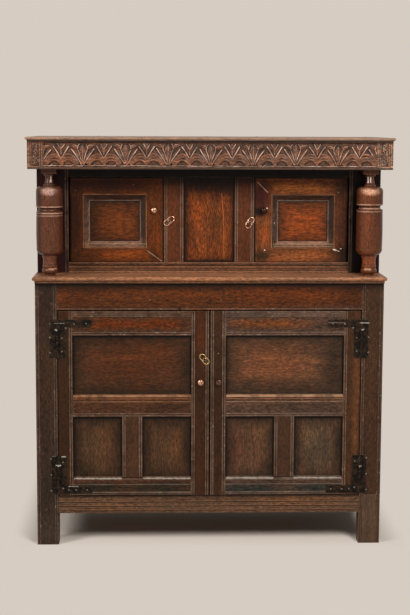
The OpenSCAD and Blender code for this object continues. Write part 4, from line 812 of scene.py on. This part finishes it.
        (-0.4, 1.41, 0.24, 0.055, (0.28, 0.18, 0.1), 0.95),
        (-0.211, 1.125, 0.03, 0.022, (0.4, 0.5, 0.55), 0.8, -0.107, 0.1)],
        scratches=[(-0.2465, 1.152, -0.1865, 1.109, 0.0024, (150, 128, 108), 0.75),
                   (-0.298, 1.41, -0.296, 1.41, 0.004, (120, 110, 100), 0.5)]),
    "upper_left_mouldings": oak("x", 76, 52, 40, worn=(140, 122, 108), **leftMouldings, spots=[
        # lit and shaded lengths: painted light on the bottom and the left length, painted shade on the top
        # and the right length
        (-0.3705, 1.17, 0.26, 0.036, (2.4, 2.3, 2.25), 1.0),
        (-0.3705, 1.363, 0.26, 0.045, (0.36, 0.3, 0.27), 1.0),
        (-0.486, 1.255, 0.034, 0.17, (1.7, 1.8, 1.9), 1.0),
        (-0.256, 1.275, 0.034, 0.17, (0.5, 0.46, 0.44), 1.0)]),
    "upper_left_panel": oak("x", 87, 42, 13, contrast=0.55, edgeTone=(0.34, 0.42, 0.46), **leftPanel,
        fields=[(-0.362, 1.262, 0.084, 0.068, 0.05)]),
    "upper_right_frame": oak("x", 96, 53, 26, flame=0.3, contrast=0.7, worn=(150, 104, 72), **rightFrame,
        spots=[
        # painted light on the bottom rail; the top rail made lighter
        (0.37, 1.128, 0.17, 0.03, (1.8, 1.75, 1.6), 1.0), (0.36, 1.4, 0.17, 0.03, (2.1, 2.2, 1.5), 1.0),
        # painted shadow of the column on the outer stile, of the canopy at the top of the inner stile, and of
        # the knob beside it
        (0.536, 1.27, 0.075, 0.45, (0.36, 0.32, 0.38), 1.0, -0.107, 0.5),
        (0.205, 1.36, 0.065, 0.1, (0.32, 0.18, 0.3), 1.0),
        (0.192, 1.305, 0.03, 0.028, (0.05, 0.05, 0.05), 1.0),
        (0.216, 1.215, 0.03, 0.06, (1.7, 1.3, 0.8), 0.8), (0.205, 1.127, 0.05, 0.045, (0.3, 0.42, 0.42), 1.0),
        (0.53, 1.135, 0.05, 0.05, (0.3, 0.34, 0.42), 1.0), (0.52, 1.405, 0.05, 0.045, (0.4, 0.5, 0.6), 0.9)],
        scratches=[(0.1895, 1.421, 0.2292, 1.381, 0.0026, (190, 156, 128), 0.9),
                   (0.2193, 1.1526, 0.2203, 1.1532, 0.0062, (244, 236, 222), 1.0),
                   (0.5222, 1.1578, 0.523, 1.1584, 0.0046, (236, 222, 204), 1.0),
                   (0.493, 1.1555, 0.503, 1.1525, 0.0044, (226, 208, 186), 0.95),
                   (0.503, 1.1525, 0.516, 1.147, 0.0026, (196, 176, 156), 0.8),
                   # a painted reflection beside the knob
                   (0.2275, 1.318, 0.2283, 1.3186, 0.0066, (232, 214, 200), 1.0),
                   (0.5095, 1.3798, 0.51, 1.3806, 0.0042, (170, 166, 150), 0.6)]),
    "upper_right_mouldings": oak("x", 84, 58, 45, worn=(150, 132, 118), **rightMouldings, spots=[
        # lit and shaded lengths: painted light on the bottom, painted shade on the top and the right length;
        # the left length cooler
        (0.3705, 1.17, 0.26, 0.036, (2.5, 2.35, 2.2), 1.0),
        (0.3705, 1.363, 0.26, 0.045, (0.42, 0.36, 0.34), 1.0),
        (0.256, 1.265, 0.034, 0.17, (0.8, 0.95, 1.1), 1.0),
        (0.486, 1.275, 0.04, 0.2, (0.3, 0.26, 0.26), 1.0)],
        scratches=[(0.2565, 1.2595, 0.2575, 1.2605, 0.005, (206, 180, 166), 0.95)]),
    "upper_right_panel": oak("x", 114, 53, 17, contrast=0.6, edgeTone=(0.34, 0.44, 0.62), **rightPanel,
        fields=[(0.372, 1.262, 0.086, 0.068, 0.05)]),
}
metalLooks = {  # base, rust, worn edge, roughness, metallic, size of the blotches and glints
    "iron": ((12, 8, 6), (44, 31, 20), (112, 98, 82), 0.5, 0.12, 0.006, (
        (-0.627, 0.3555, -0.601, 0.3555, 0.003, (112, 108, 98)),
        (-0.577, 0.354, -0.552, 0.3545, 0.0036, (196, 190, 180)),
        (-0.598, 0.3195, -0.583, 0.319, 0.0042, (214, 206, 194)),
        (-0.55, 0.235, -0.515, 0.2345, 0.0028, (170, 164, 152)),
        (-0.602, 0.88, -0.564, 0.8805, 0.0028, (130, 124, 112)),
        (-0.598, 0.8545, -0.591, 0.8545, 0.0046, (196, 188, 176)),
        (0.459, 0.8825, 0.525, 0.882, 0.0024, (130, 122, 112)),
        (0.583, 0.8815, 0.63, 0.8815, 0.0034, (200, 190, 176)),
        (0.591, 0.855, 0.598, 0.855, 0.005, (214, 206, 192)),
        (0.591, 0.313, 0.598, 0.3125, 0.0044, (186, 178, 166)))),
    "nail": ((128, 118, 102), (66, 56, 46), (214, 202, 184), 0.34, 0.6, 0.003),
    "copper": ((228, 178, 148), (118, 76, 54), (255, 232, 212), 0.3, 1.0, 0.003),
    "darkBrass": ((74, 48, 36), (42, 27, 20), (230, 190, 156), 0.24, 1.0, 0.003),
    "blackened": ((128, 94, 80), (50, 35, 28), (240, 220, 204), 0.16, 1.0, 0.003),
    "paleBrass": ((208, 178, 124), (146, 112, 72), (250, 230, 190), 0.26, 1.0, 0.003),
}
metalPieces = {  # any other knob, button or iron piece is copper or iron
    "upper_right_knob": "darkBrass",
    "lower_right_knob": "blackened",
    "lower_turn_button": "paleBrass",
}

finishes = {name: oakFinish("oak_" + name, look, (n + 1) / 10)
            for n, (name, look) in enumerate(oakPieces.items())}
metals = {name: metalFinish("metal_" + name, *look) for name, look in metalLooks.items()}

for name, obj in frame["nodes"].items():
    if "knob" in name or "turn_button" in name:
        finish = metals[metalPieces.get(name, "copper")]
    elif "hinge" in name or "pins" in name or "screw" in name:
        finish = metals["iron"]
    elif name in finishes:
        finish = finishes[name]
    else:  # the two carved nodes
        continue
    if not obj.material_slots:
        obj.data.materials.append(finish)
    for slot in obj.material_slots:
        slot.material = finish
print("finishes on", len(frame["nodes"]), "nodes")


# carving

carving = {
    "pitch": 0.162,      # from one fan to the next
    "grid": 0.0013,      # distance between the points of the carved face
    "depth": 0.0068,     # from the face of the board to the sunk ground
    "foot": 0.018,       # base of the fans above the lower edge
    "topBand": 0.0085,
    "footBand": 0.0095,
    "shake": 0.0008,     # unsteadiness of the carver's hand
    "blockWidth": 0.063,
    "blockGrid": 0.0009,
    "blockDepth": 0.0035,
    "seed": 7,
}


def bent(points, count=14):  # a smooth curve of count points through three or four
    p = [np.array(q, float) for q in points]
    ts = np.linspace(0, 1, count)
    if len(p) == 3:
        return [(1 - s) ** 2 * p[0] + 2 * s * (1 - s) * p[1] + s * s * p[2] for s in ts]
    return [(1 - s) ** 3 * p[0] + 3 * s * (1 - s) ** 2 * p[1] + 3 * s * s * (1 - s) * p[2] + s ** 3 * p[3]
            for s in ts]


def softened(h, times):
    for _ in range(times):
        p = np.pad(h, 1, mode="edge")
        h = (4 * p[1:-1, 1:-1] + p[:-2, 1:-1] + p[2:, 1:-1] + p[1:-1, :-2] + p[1:-1, 2:]) / 8
    return h


class Relief:  # a height field on the front of a board, 0 at the face and less where it is cut away
    def __init__(self, low, high, x0, x1, grid, ground):
        self.xs = np.linspace(x0, x1, int(round((x1 - x0) / grid)) + 1)
        self.zs = np.linspace(low.z, high.z, int(round((high.z - low.z) / grid)) + 1)
        self.x, self.z = np.meshgrid(self.xs, self.zs)
        self.h = np.full(self.x.shape, -ground)
        self.low, self.high, self.ground = low, high, ground

    def near(self, points, reach):  # a window round the curve; there, the distance to it and how far along
        (x0, z0), (x1, z1) = np.min(points, axis=0) - reach, np.max(points, axis=0) + reach
        window = slice(*np.searchsorted(self.zs, (z0, z1))), slice(*np.searchsorted(self.xs, (x0, x1)))
        x, z = self.x[window], self.z[window]
        best, share = np.full(x.shape, 1e9), np.zeros(x.shape)
        n = len(points) - 1
        for j in range(n):
            a, d = points[j], points[j + 1] - points[j]
            s = np.clip(((x - a[0]) * d[0] + (z - a[1]) * d[1]) / max(d.dot(d), 1e-12), 0, 1)
            dist = np.hypot(x - a[0] - s * d[0], z - a[1] - s * d[1])
            closer = dist < best
            best, share = np.where(closer, dist, best), np.where(closer, (j + s) / n, share)
        return window, best, share

    def lift(self, window, inside, value):
        self.h[window] = np.maximum(self.h[window], np.where(inside, value, -self.ground))

    def ridge(self, points, width, top, taper=0.0):  # a rounded rib; top is its height under the face
        window, d, s = self.near(np.array(points), width)
        w = width * (1 - taper * s)
        up = np.sqrt(np.clip(1 - (d / w) ** 2, 0, 1))
        self.lift(window, d < w, -top - (self.ground - top) * (1 - up ** 0.8))

    def leaf(self, points, width, top, blunt=0.7):  # a lobe round a spine
        window, d, s = self.near(np.array(points), width)
        w = width * np.clip(np.sin(np.pi * np.clip(s, 0.02, 1) ** blunt), 0.04, 1)
        up = np.clip(1 - (d / w) ** 2, 0, 1) ** 0.5
        self.lift(window, d < w, -top - (self.ground - top) * (1 - up))

    def shades(self):  # how high each point stands, and how much it stands out from what is round it
        rise = (self.h - softened(self.h, 9)) / 0.0011
        return np.clip(1 + self.h / self.ground, 0, 1), np.clip(rise, -1, 1)

    def mesh(self):
        rows, cols = self.h.shape
        front = np.stack([self.x, self.low.y - self.h, self.z], axis=-1).reshape(-1, 3)
        ring = [(0, c) for c in range(cols)] + [(k, cols - 1) for k in range(1, rows)]
        ring += [(rows - 1, c) for c in range(cols - 2, -1, -1)] + [(k, 0) for k in range(rows - 2, 0, -1)]
        rear = np.array([(self.xs[c], self.high.y, self.zs[k]) for k, c in ring])
        index = np.arange(rows * cols).reshape(rows, cols)
        quads = np.stack([index[:-1, :-1], index[:-1, 1:], index[1:, 1:], index[1:, :-1]], axis=-1)
        faces = [tuple(quad) for quad in quads.reshape(-1, 4)]
        base, n = rows * cols, len(ring)
        for j in range(n):
            after = (j + 1) % n
            faces.append((index[ring[after]], index[ring[j]], base + j, base + after))
        faces.append(tuple(base + j for j in range(n - 1, -1, -1)))
        return np.vstack([front, rear]), faces


def knife(middle, foot, rng, k=1.0):  # cuts along curves whose points are given from a middle and a foot
    def cut(tool, side, points, *sizes):
        line = []
        for x, up in points:
            shake = rng.normal(0, carving["shake"], 2)
            line.append((middle + side * x * k + shake[0], foot + up * k + shake[1]))
        tool(bent(line), *sizes)
    return cut


def carveFan(r, k, cut):  # five ribs under a hood, on broad lobes
    cut(r.leaf, 1, ((0, 0.012), (0, 0.045), (0.001, 0.08)), 0.015 * k, 0.0026, 0.9)
    cut(r.ridge, 1, ((0, 0.002), (0, 0.035), (0.001, 0.066)), 0.0027, 0.0004, 0.2)
    for side in (-1, 1):
        cut(r.leaf, side, ((0.006, 0.008), (0.022, 0.03), (0.04, 0.056)), 0.011, 0.003)
        cut(r.leaf, side, ((0.016, 0.06), (0.026, 0.072), (0.042, 0.066)), 0.0085, 0.0024)
        cut(r.ridge, side, ((0.002, 0.002), (0.007, 0.028), (0.018, 0.054)), 0.003, 0.0002, 0.2)
        cut(r.ridge, side, ((0.006, 0.002), (0.02, 0.026), (0.043, 0.058)), 0.0036, 0.0, 0.2)
        cut(r.ridge, side, ((0.02, 0.058), (0.019, 0.074), (0.008, 0.08)), 0.0026, 0.0004, 0.3)
        cut(r.ridge, side, ((0.022, 0.07), (0.03, 0.079), (0.044, 0.07)), 0.0024, 0.0006, 0.4)


def carveDrop(r, cut):  # the hanging chevron between two fans, with nested humps under it
    cut(r.leaf, 1, ((0, 0.03), (0, 0.056), (0, 0.08)), 0.015, 0.0036, 1.25)
    cut(r.ridge, 1, ((0, 0.038), (0, 0.048), (0, 0.06)), 0.0024, 0.0012)
    for side in (-1, 1):
        for level in range(3):
            drop = 0.0116 * level
            cut(r.ridge, side, ((0, 0.019 - drop * 0.9), (0.016, 0.05 - drop), (0.04, 0.046 - drop),
                                (0.064 - 0.004 * level, 0.004 - drop * 0.3)), 0.0058 - 0.0004 * level, 0.0018)
        cut(r.ridge, side, ((0.029, 0.068), (0.012, 0.044), (0, 0.02)), 0.0032, 0.0)
        cut(r.ridge, side, ((0.012, 0.078), (0.007, 0.066), (0, 0.058)), 0.0026, 0.0004)


def carveFrieze(low, high):
    rng = np.random.default_rng(carving["seed"])
    r = Relief(low, high, low.x, high.x, carving["grid"], carving["depth"])
    r.h += 0.0014 * (np.sin(r.x * 900 + 3 * np.sin(r.z * 260))
                     * np.sin(r.z * 700 + 2 * np.sin(r.x * 190)) > 0.5)
    foot = low.z + carving["foot"]
    for n in range(-4, 5):
        carveDrop(r, knife((n - 0.5) * carving["pitch"], foot, rng))
    for n in range(-4, 5):
        middle, k = n * carving["pitch"] + rng.normal(0, 0.0012), rng.uniform(0.95, 1.02)
        carveFan(r, k, knife(middle, foot, rng, k))
    r.ridge([(x, low.z + 0.0125 + 0.0006 * math.sin(x * 40)) for x in np.linspace(low.x, high.x, 120)],
            0.0026, 0.0004)
    for x in np.arange(low.x + 0.02, high.x, 0.0405):  # slanting nicks along the foot
        if x < -0.32 or rng.uniform() < 0.3:
            r.ridge([(x, low.z + 0.01), (x + 0.012, low.z + 0.018)], 0.0022, 0.0)
    r.h = softened(r.h, 1)
    top = np.clip((r.z - (high.z - carving["topBand"])) / 0.0012, 0, 1)
    bottom = np.clip(((low.z + carving["footBand"]) - r.z) / 0.0012, 0, 1)
    r.h = np.minimum(r.h * (1 - np.maximum(top, bottom)), 0) - 0.0002 * rng.random(r.h.shape)
    return [r]


def carveEndBlocks(low, high):
    rng, width, blocks = np.random.default_rng(carving["seed"] + 1), carving["blockWidth"], []
    for x0 in (low.x, high.x - width):
        r, cx = Relief(low, high, x0, x0 + width, carving["blockGrid"], carving["blockDepth"]), x0 + width / 2
        for side in (-1, 1):
            for off, wide in ((0.0075, 0.0042), (0.015, 0.003)):
                x = cx + side * (0.0315 - off)
                r.ridge([(x, low.z), (x, high.z)], wide, 0.0003)
        for _ in range(44):  # what is left of a small leafy strip
            x, z = cx + rng.uniform(-0.0115, 0.0115), rng.uniform(low.z + 0.018, high.z - 0.012)
            turn = rng.uniform(0.3, 2.8)
            reach = 0.0032 * np.array((math.cos(turn), math.sin(turn)))
            r.ridge([np.array((x, z)) - reach, np.array((x, z)) + reach], 0.0019, 0.0008)
        frameShare = np.clip((0.0035 - np.minimum(r.x - x0, x0 + width - r.x)) / 0.001, 0, 1)
        ends = np.maximum(np.clip((low.z + 0.013 - r.z) / 0.0015, 0, 1),
                          np.clip((r.z - high.z + 0.008) / 0.0015, 0, 1))
        r.h = softened(np.minimum(r.h * (1 - np.maximum(frameShare, ends)), 0), 1)
        r.h[0], r.h[-1], r.h[:, 0], r.h[:, -1] = 0, 0, 0, 0
        blocks.append(r)
    return blocks


def carvedFinish():
    look = oak("x", 108, 69, 48, contrast=1.1, flame=0.4)
    low, high = (corner[2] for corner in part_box("frieze_board"))
    material, t, place = newMaterial("carvedOak")
    grainColour, grainHeight = figure(t, place, look, "x", 5.0)
    # relief and crest, from the carving, set the painted shade of the ground and hollows and the painted
    # highlight on the crests
    raised, crest = (t.add("ShaderNodeAttribute", {"attribute_name": name}).outputs["Fac"]
                     for name in ("relief", "crest"))
    across, height = t.parts(place)["X"], t.parts(place)["Z"]
    patchy = t.patches(place, 30, 3.0, 0.6, 0.35, 0.65)
    wood = t.mix(t.step(t.maths("ABSOLUTE", across), 0.22, 0.62, (0.0, 0.6)),
                 t.tint(1.0, grainColour, (0.86, 0.92, 1.02)), t.tint(1.0, grainColour, (1.1, 1.02, 0.92)))
    leftEnd, rightEnd = t.step(across, -0.628, -0.636), t.step(across, 0.628, 0.636)
    wood = t.tint(rightEnd, t.tint(leftEnd, wood, (0.95, 1.25, 1.55)), (1.3, 1.85, 2.4))
    # the sunk ground, darker and patchy: its own colour and painted shade of the relief
    colour = t.mix(t.step(raised, 0.25, 0.85), t.mix(patchy, tone(46, 32, 24), tone(96, 60, 40)), wood)
    # painted shade in the hollows beside the ribs
    colour = t.mix(t.times(t.step(crest, -0.1, -0.8), 0.75), colour, tone(30, 20, 15))
    # painted shadow of the top board over the upper band
    band = t.step(height, high - 0.0145, high - 0.0105)
    colour = t.mix(t.times(band, 0.75), colour, t.mix(patchy, tone(50, 26, 14), tone(82, 44, 24)))
    # pale crests: rubbed wear and painted highlight
    pale = t.times(t.step(crest, 0.4, 1.0), t.step(patchy, 0.0, 1.0, (0.4, 0.85)),
                   t.step(raised, 0.5, 0.95), t.minus(1.0, band))
    colour = t.mix(pale, colour, t.mix(patchy, tone(172, 140, 122), tone(216, 188, 170)))
    flecks = t.patches(place, 110, 2.0, 0.6, 0.6, 0.7)
    colour = t.mix(t.times(flecks, rightEnd, 0.5), colour, tone(196, 180, 162))
    # a painted shadow line right under the top board
    colour = t.mix(t.step(height, high - 0.0075, high - 0.0035), colour, tone(14, 8, 5))
    colour = t.mix(t.step(height, low + 0.01, low + 0.006, (0.0, 0.8)), colour, tone(52, 38, 30))
    dirt = t.group("hollowDirt", Place=place, Reach=0.006).outputs[0]
    surface(t, 0.4, 0.0006, grainHeight, t.group("wornEdge", Place=place).outputs["Normal"],
            Base_Color=t.mix(t.times(dirt, 0.6), colour, tone(26, 18, 14)), Specular_IOR_Level=0.15,
            Roughness=t.step(crest, 0.0, 1.0, (0.5, 0.36)), Coat_Weight=0.2, Coat_Roughness=0.25)
    return material


def addLayers(mesh, **layers):  # a number at every point, under a name
    for label, values in layers.items():
        mesh.attributes.new(label, "FLOAT", "POINT").data.foreach_set("value", np.array(values, np.float32))


def smoothed(mesh, degrees):
    mesh.shade_smooth()
    mesh.set_sharp_from_angle(angle=math.radians(degrees))


def makeCarving():
    material = carvedFinish()
    for name, node, carve in (("carved_frieze", "frieze_board", carveFrieze),
                              ("carved_end_blocks", "frieze_end_blocks", carveEndBlocks)):
        vertices, faces, height, crest = [], [], [], []
        for r in carve(*(Vector(corner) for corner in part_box(node))):
            (points, quads), (h, c), start = r.mesh(), r.shades(), len(vertices)
            vertices += [tuple(point) for point in points]
            faces += [tuple(i + start for i in f) for f in quads]
            rest = len(points) - h.size
            height += [*h.ravel(), *np.full(rest, 0.8)]
            crest += [*c.ravel(), *np.full(rest, 0.0)]
        mesh = bpy.data.meshes.new(name)
        mesh.from_pydata(vertices, [], faces)
        addLayers(mesh, relief=height, crest=crest)
        smoothed(mesh, 62)
        piece = newObject(name, mesh)
        mesh.materials.append(material)
        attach(piece, "carcase")
        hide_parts(node)
        print(name, "has", len(mesh.polygons), "faces")


# pegs and nails

def studRows():  # a small head on every point of the carrier, turned to its facing
    t, get, put = newGroup("studRows", {
        "Points": "Geometry", "Radius": "Float", "Rise": "Float", "Sunk": "Float", "Top Share": "Float",
        "Sides": "Int", "Spread": 0.15, "Seed": "Int", "Finish": "Material",
    }, "GeometryNodeTree", Geometry="Geometry")
    head = t.add("GeometryNodeMeshCone", Vertices=get["Sides"], Side_Segments=2, Fill_Segments=2,
                 Radius_Top=t.times(get["Radius"], get["Top Share"]), Radius_Bottom=get["Radius"],
                 Depth=t.plus(get["Rise"], get["Sunk"]))
    back = t.add("ShaderNodeCombineXYZ", Z=t.times(get["Sunk"], -1.0))
    placed = t.add("GeometryNodeTransform", Geometry=head.outputs["Mesh"], Translation=back.outputs[0])
    facing = t.add("GeometryNodeInputNamedAttribute", {"data_type": "FLOAT_VECTOR"}, Name="facing")
    turn = t.add("FunctionNodeAlignRotationToVector", {"axis": "Z"}, Vector=facing.outputs[0])

    def chance(seed, low, high):
        node = t.add("FunctionNodeRandomValue", {"data_type": "FLOAT"}, Seed=seed)
        t.feed(node.inputs[2], low)
        t.feed(node.inputs[3], high)
        return node.outputs[1]
    about = t.add("FunctionNodeAxisAngleToRotation", Angle=chance(get["Seed"], 0.0, 6.283))
    turned = t.add("FunctionNodeRotateRotation", {"rotation_space": "LOCAL"}, Rotation=turn.outputs[0],
                   Rotate_By=about.outputs[0])
    size = chance(t.plus(get["Seed"], 5.0), t.minus(1.0, get["Spread"]), t.plus(1.0, get["Spread"]))
    rows = t.add("GeometryNodeInstanceOnPoints", Points=get["Points"], Instance=placed.outputs[0],
                 Rotation=turned.outputs[0], Scale=size)
    real = t.add("GeometryNodeRealizeInstances", Geometry=rows.outputs[0])
    put(Geometry=t.add("GeometryNodeSetMaterial", Geometry=real.outputs[0],
                       Material=get["Finish"]).outputs[0])
    return t.tree


def bakeTree(name, mesh, tree, body, sizes):  # what the tree makes of a carrier mesh, as a plain piece
    carrier = newObject(name + "_carrier", mesh)
    rows = carrier.modifiers.new("rows", "NODES")
    rows.node_group = tree
    sockets = {s.name: s.identifier for s in tree.interface.items_tree if s.in_out == "INPUT"}
    for label, value in sizes.items():
        rows[sockets[label.replace("_", " ")]] = value
    bpy.context.view_layer.update()
    made = bpy.data.meshes.new_from_object(carrier.evaluated_get(bpy.context.evaluated_depsgraph_get()))
    carrier.modifiers.remove(rows)
    bpy.data.objects.remove(carrier)
    made.name = name
    piece = newObject(name, made)
    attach(piece, body)
    return piece


faceY, upperY, leafY = -0.243, -0.107, -0.2455  # fronts of the lower frames, upper frames and hinge plates
ways = {"front": (0, -1, 0), "back": (0, 1, 0), "left": (-1, 0, 0), "right": (1, 0, 0), "top": (0, 0, 1)}


def front(y, *spots):
    return [(x, y, z, "front") for x, z in spots]


def hingeNails(side):  # nail places on the post's plates and on the door's plates of one side
    low, high = (corner[2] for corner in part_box("post_hinge_leaves"))
    high -= 0.152  # the height of a plate
    post = front(leafY, *((side * 0.618, z) for z in (low + 0.012, low + 0.076, low + 0.14,
                                                      high + 0.022, high + 0.082, high + 0.135)))
    door = ((0.5725, low + 0.022), (0.5725, low + 0.127), (0.551, low + 0.0155), (0.522, low + 0.0155),
            (0.479, low + 0.0155), (0.5725, high + 0.027), (0.5725, high + 0.08), (0.5577, high + 0.119),
            (0.5252, high + 0.134), (0.479, high + 0.1365))
    return post, front(leafY, *((side * x, z) for x, z in door))


def rowsOnCarcase():  # pegs of the side frames and nails of the boards behind and on top
    pegs, nails = [], []
    for side, way in ((-1, "left"), (1, "right")):
        for y, heights in ((-0.199, (0.15, 0.19, 0.515, 0.575, 0.965, 1.015)),
                           (-0.074, (1.08, 1.115, 1.53, 1.565))):
            pegs += [(side * 0.675, at, z, way) for z in heights for at in (y, 0.24)]
    for z in (0.24, 0.47, 0.7, 0.93, 1.12, 1.2, 1.29, 1.38, 1.46, 1.54):
        nails += [(x, 0.277, z + 0.01 * math.sin(9 * x), "back") for x in (-0.65, -0.63, 0.63, 0.65)]
    nails += [(x, 0.277, z, "back") for x in np.arange(-0.5, 0.6, 0.25) for z in (0.16, 1.0, 1.555)]
    nails += [(x + 0.01 * math.sin(20 * x), y, cadBox[1][2], "top") for x in np.linspace(-0.66, 0.66, 7)
              for y in (-0.262, -0.05, 0.15, 0.262)]
    return pegs, nails


def makeStuds():
    tree, iron = studRows(), metals["nail"]
    peg = oakFinish("pegOak", oak("y", 60, 42, 31, coarse=2.0, wear=0.8, worn=(112, 88, 72)))
    pale = oakFinish("paleMark", oak("x", 176, 150, 128, coarse=2.0, wear=0.2))
    pegSize = dict(Radius=0.0048, Rise=0.0009, Sunk=0.003, Top_Share=0.82, Sides=9, Finish=peg)
    doorPeg = {**pegSize, "Radius": 0.0038, "Rise": 0.0006}
    nailSize = dict(Radius=0.0036, Rise=0.0013, Sunk=0.002, Top_Share=0.4, Sides=7, Finish=iron)
    hingeNail = {**nailSize, "Radius": 0.0052, "Rise": 0.0022}
    markSize = {**nailSize, "Radius": 0.003, "Rise": 0.0008}
    sidePegs, boardNails = rowsOnCarcase()
    (leftPost, leftDoor), (rightPost, rightDoor) = hingeNails(-1), hingeNails(1)
    postPegs = front(faceY, (-0.6481, 0.9981), (-0.6509, 0.7427), (-0.6581, 0.4365), (-0.6527, 0.3632),
                     (-0.6569, 0.2704), (-0.6387, 0.1416), (-0.6046, 0.1451), (-0.6097, 0.9554),
                     (0.6505, 0.7269), (0.6521, 0.6421), (0.608, 0.147), (0.611, 0.97), (0.611, 1.008))
    railNails = front(faceY, (-0.1424, 0.1496), (-0.0794, 0.1453), (0.0744, 0.1437), (-0.3016, 0.1767),
                      (0.3507, 0.1784), (0.0426, 0.9708), (-0.2318, 0.9709), (-0.4246, 0.9709))
    doorPegs = [front(faceY, *((side * inner, z) for z in (0.215, 0.252, 0.535, 0.575, 0.85, 0.895)),
                      *((side * outer, z) for z in (0.215, 0.252, 0.535, 0.575)))
                for side, inner, outer in ((-1, 0.062, 0.545), (1, 0.053, 0.535))]
    leftMarks = front(upperY, (-0.5217, 1.3855), (-0.5236, 1.1485))
    rightMarks = front(upperY, (0.2222, 1.1507), (0.5084, 1.3796), (0.5206, 1.1581))
    for name, body, slot, points, seed, sizes in (
            ("post_pegs", "carcase", "frame_oak", postPegs + sidePegs, 11, pegSize),
            ("board_nails", "carcase", "wrought_iron", boardNails + railNails, 12, nailSize),
            ("post_hinge_nails", "carcase", "wrought_iron", leftPost + rightPost, 13, hingeNail),
            ("left_door_nails", "lower_left_door", "wrought_iron", leftDoor, 14, hingeNail),
            ("right_door_nails", "lower_right_door", "wrought_iron",
             rightDoor + front(faceY, (0.0331, 0.7614)), 15, hingeNail),
            ("left_door_pegs", "lower_left_door", "frame_oak", doorPegs[0], 15, doorPeg),
            ("right_door_pegs", "lower_right_door", "frame_oak", doorPegs[1], 17, doorPeg),
            ("upper_left_marks", "upper_left_door", "frame_oak", leftMarks, 21, markSize),
            ("upper_right_marks", "upper_right_door", "frame_oak", rightMarks, 22,
             {**markSize, "Finish": pale})):
        mesh = bpy.data.meshes.new(name + "_points")
        mesh.from_pydata([p[:3] for p in points], [], [])
        facing = mesh.attributes.new("facing", "FLOAT_VECTOR", "POINT")
        facing.data.foreach_set("vector", np.array([ways[p[3]] for p in points], np.float32).ravel())
        bakeTree(name, mesh, tree, body, {**sizes, "Seed": seed})
    print("pegs and nails placed")


# scratched beads along the frames' edges

reeds = {
    "period": 0.008,    # width of one bead
    "height": 0.001,    # crest above the face
    "wear": 0.75,       # how much of the crest is lost where it is most rubbed
    "sunk": 0.0008,
    "pieces": (         # body, face and nodes
        ("carcase", faceY, ("front_post_left", "front_post_right", "lower_top_rail")),
        ("carcase", upperY, ("upper_posts", "upper_sill_rail", "upper_muntins")),
        ("lower_left_door", faceY, ("lower_left_stiles", "lower_left_rails", "lower_left_muntin")),
        ("lower_right_door", faceY, ("lower_right_stiles", "lower_right_rails", "lower_right_muntin")),
    ),
}


def wornReeds():  # lifts the carrier's upper points into half-round beads, rubbed down here and there
    t, get, put = newGroup("wornReeds", {
        "Strips": "Geometry", "Period": "Float", "Height": "Float", "Wear": "Float", "Seed": "Float",
        "Finish": "Material",
    }, "GeometryNodeTree", Geometry="Geometry")
    across, raised = (t.add("GeometryNodeInputNamedAttribute", {"data_type": "FLOAT"}, Name=name).outputs[0]
                      for name in ("across", "raised"))
    off = t.times(t.minus(t.maths("FRACT", t.over(across, get["Period"])), 0.5), 2.0)
    arch = t.maths("SQRT", t.maths("SUBTRACT", 1.0, t.times(off, off), clamp=True))
    place = t.vector("ADD", t.add("GeometryNodeInputPosition").outputs[0], get["Seed"])
    left = t.minus(1.0, t.times(t.patches(place, 34, 3.0, 0.65, 0.42, 0.62), get["Wear"]))
    lift = t.times(t.plus(t.times(arch, left, get["Height"]), 0.0001), t.times(raised, -1.0))
    moved = t.add("GeometryNodeSetPosition", Geometry=get["Strips"],
                  Offset=t.add("ShaderNodeCombineXYZ", Y=lift).outputs[0])
    put(Geometry=t.add("GeometryNodeSetMaterial", Geometry=moved.outputs[0],
                       Material=get["Finish"]).outputs[0])
    return t.tree


def reedStrips(name, runs, y):  # flat closed strips, with the distance across each as a layer
    vertices, faces, across, raised = [], [], [], []
    for axis, edge, way, count, start, end in runs:
        wide = count * reeds["period"]
        loop = [(u, 0.0, 1.0) for u in np.linspace(0, wide, count * 8 + 1)]
        loop += [(wide, reeds["sunk"], 0.0), (0.0, reeds["sunk"], 0.0)]
        marks = np.linspace(start, end, int((end - start) / 0.009) + 2)
        base, n = len(vertices), len(loop)
        for mark in marks:
            for u, deep, up in loop:
                side = edge + way * u
                vertices.append((side, y + deep, mark) if axis == "X" else (mark, y + deep, side))
                across.append(u)
                raised.append(up)
        for j in range(len(marks) - 1):
            for i in range(n):
                a, b = base + j * n + i, base + j * n + (i + 1) % n
                faces.append((a, b, b + n, a + n))
        faces.append(tuple(range(base + n - 1, base - 1, -1)))
        faces.append(tuple(range(len(vertices) - n, len(vertices))))
    mesh = bpy.data.meshes.new(name)
    mesh.from_pydata(vertices, [], faces)
    addLayers(mesh, across=across, raised=raised)
    work = bmesh.new()
    work.from_mesh(mesh)
    bmesh.ops.recalc_face_normals(work, faces=work.faces)
    work.to_mesh(mesh)
    work.free()
    return mesh


def makeReeds():
    tree, n = wornReeds(), 0
    for body, y, nodes in reeds["pieces"]:
        for node in nodes:
            mesh = reedStrips(node + "_beads", oakPieces[node]["beads"], y)
            piece = bakeTree(node + "_beads", mesh, tree, body, dict(
                Period=reeds["period"], Height=reeds["height"], Wear=reeds["wear"], Seed=1.7 * n,
                Finish=finishes[node]))
            smoothed(piece.data, 60)
            n += 1
    print("beads along", n, "nodes")


bpy.context.scene.view_settings.view_transform = "Standard"
setCamera()
setLamps()
setWorld()
setFloor()
print("studio set")
makeCarving()
makeStuds()
makeReeds()
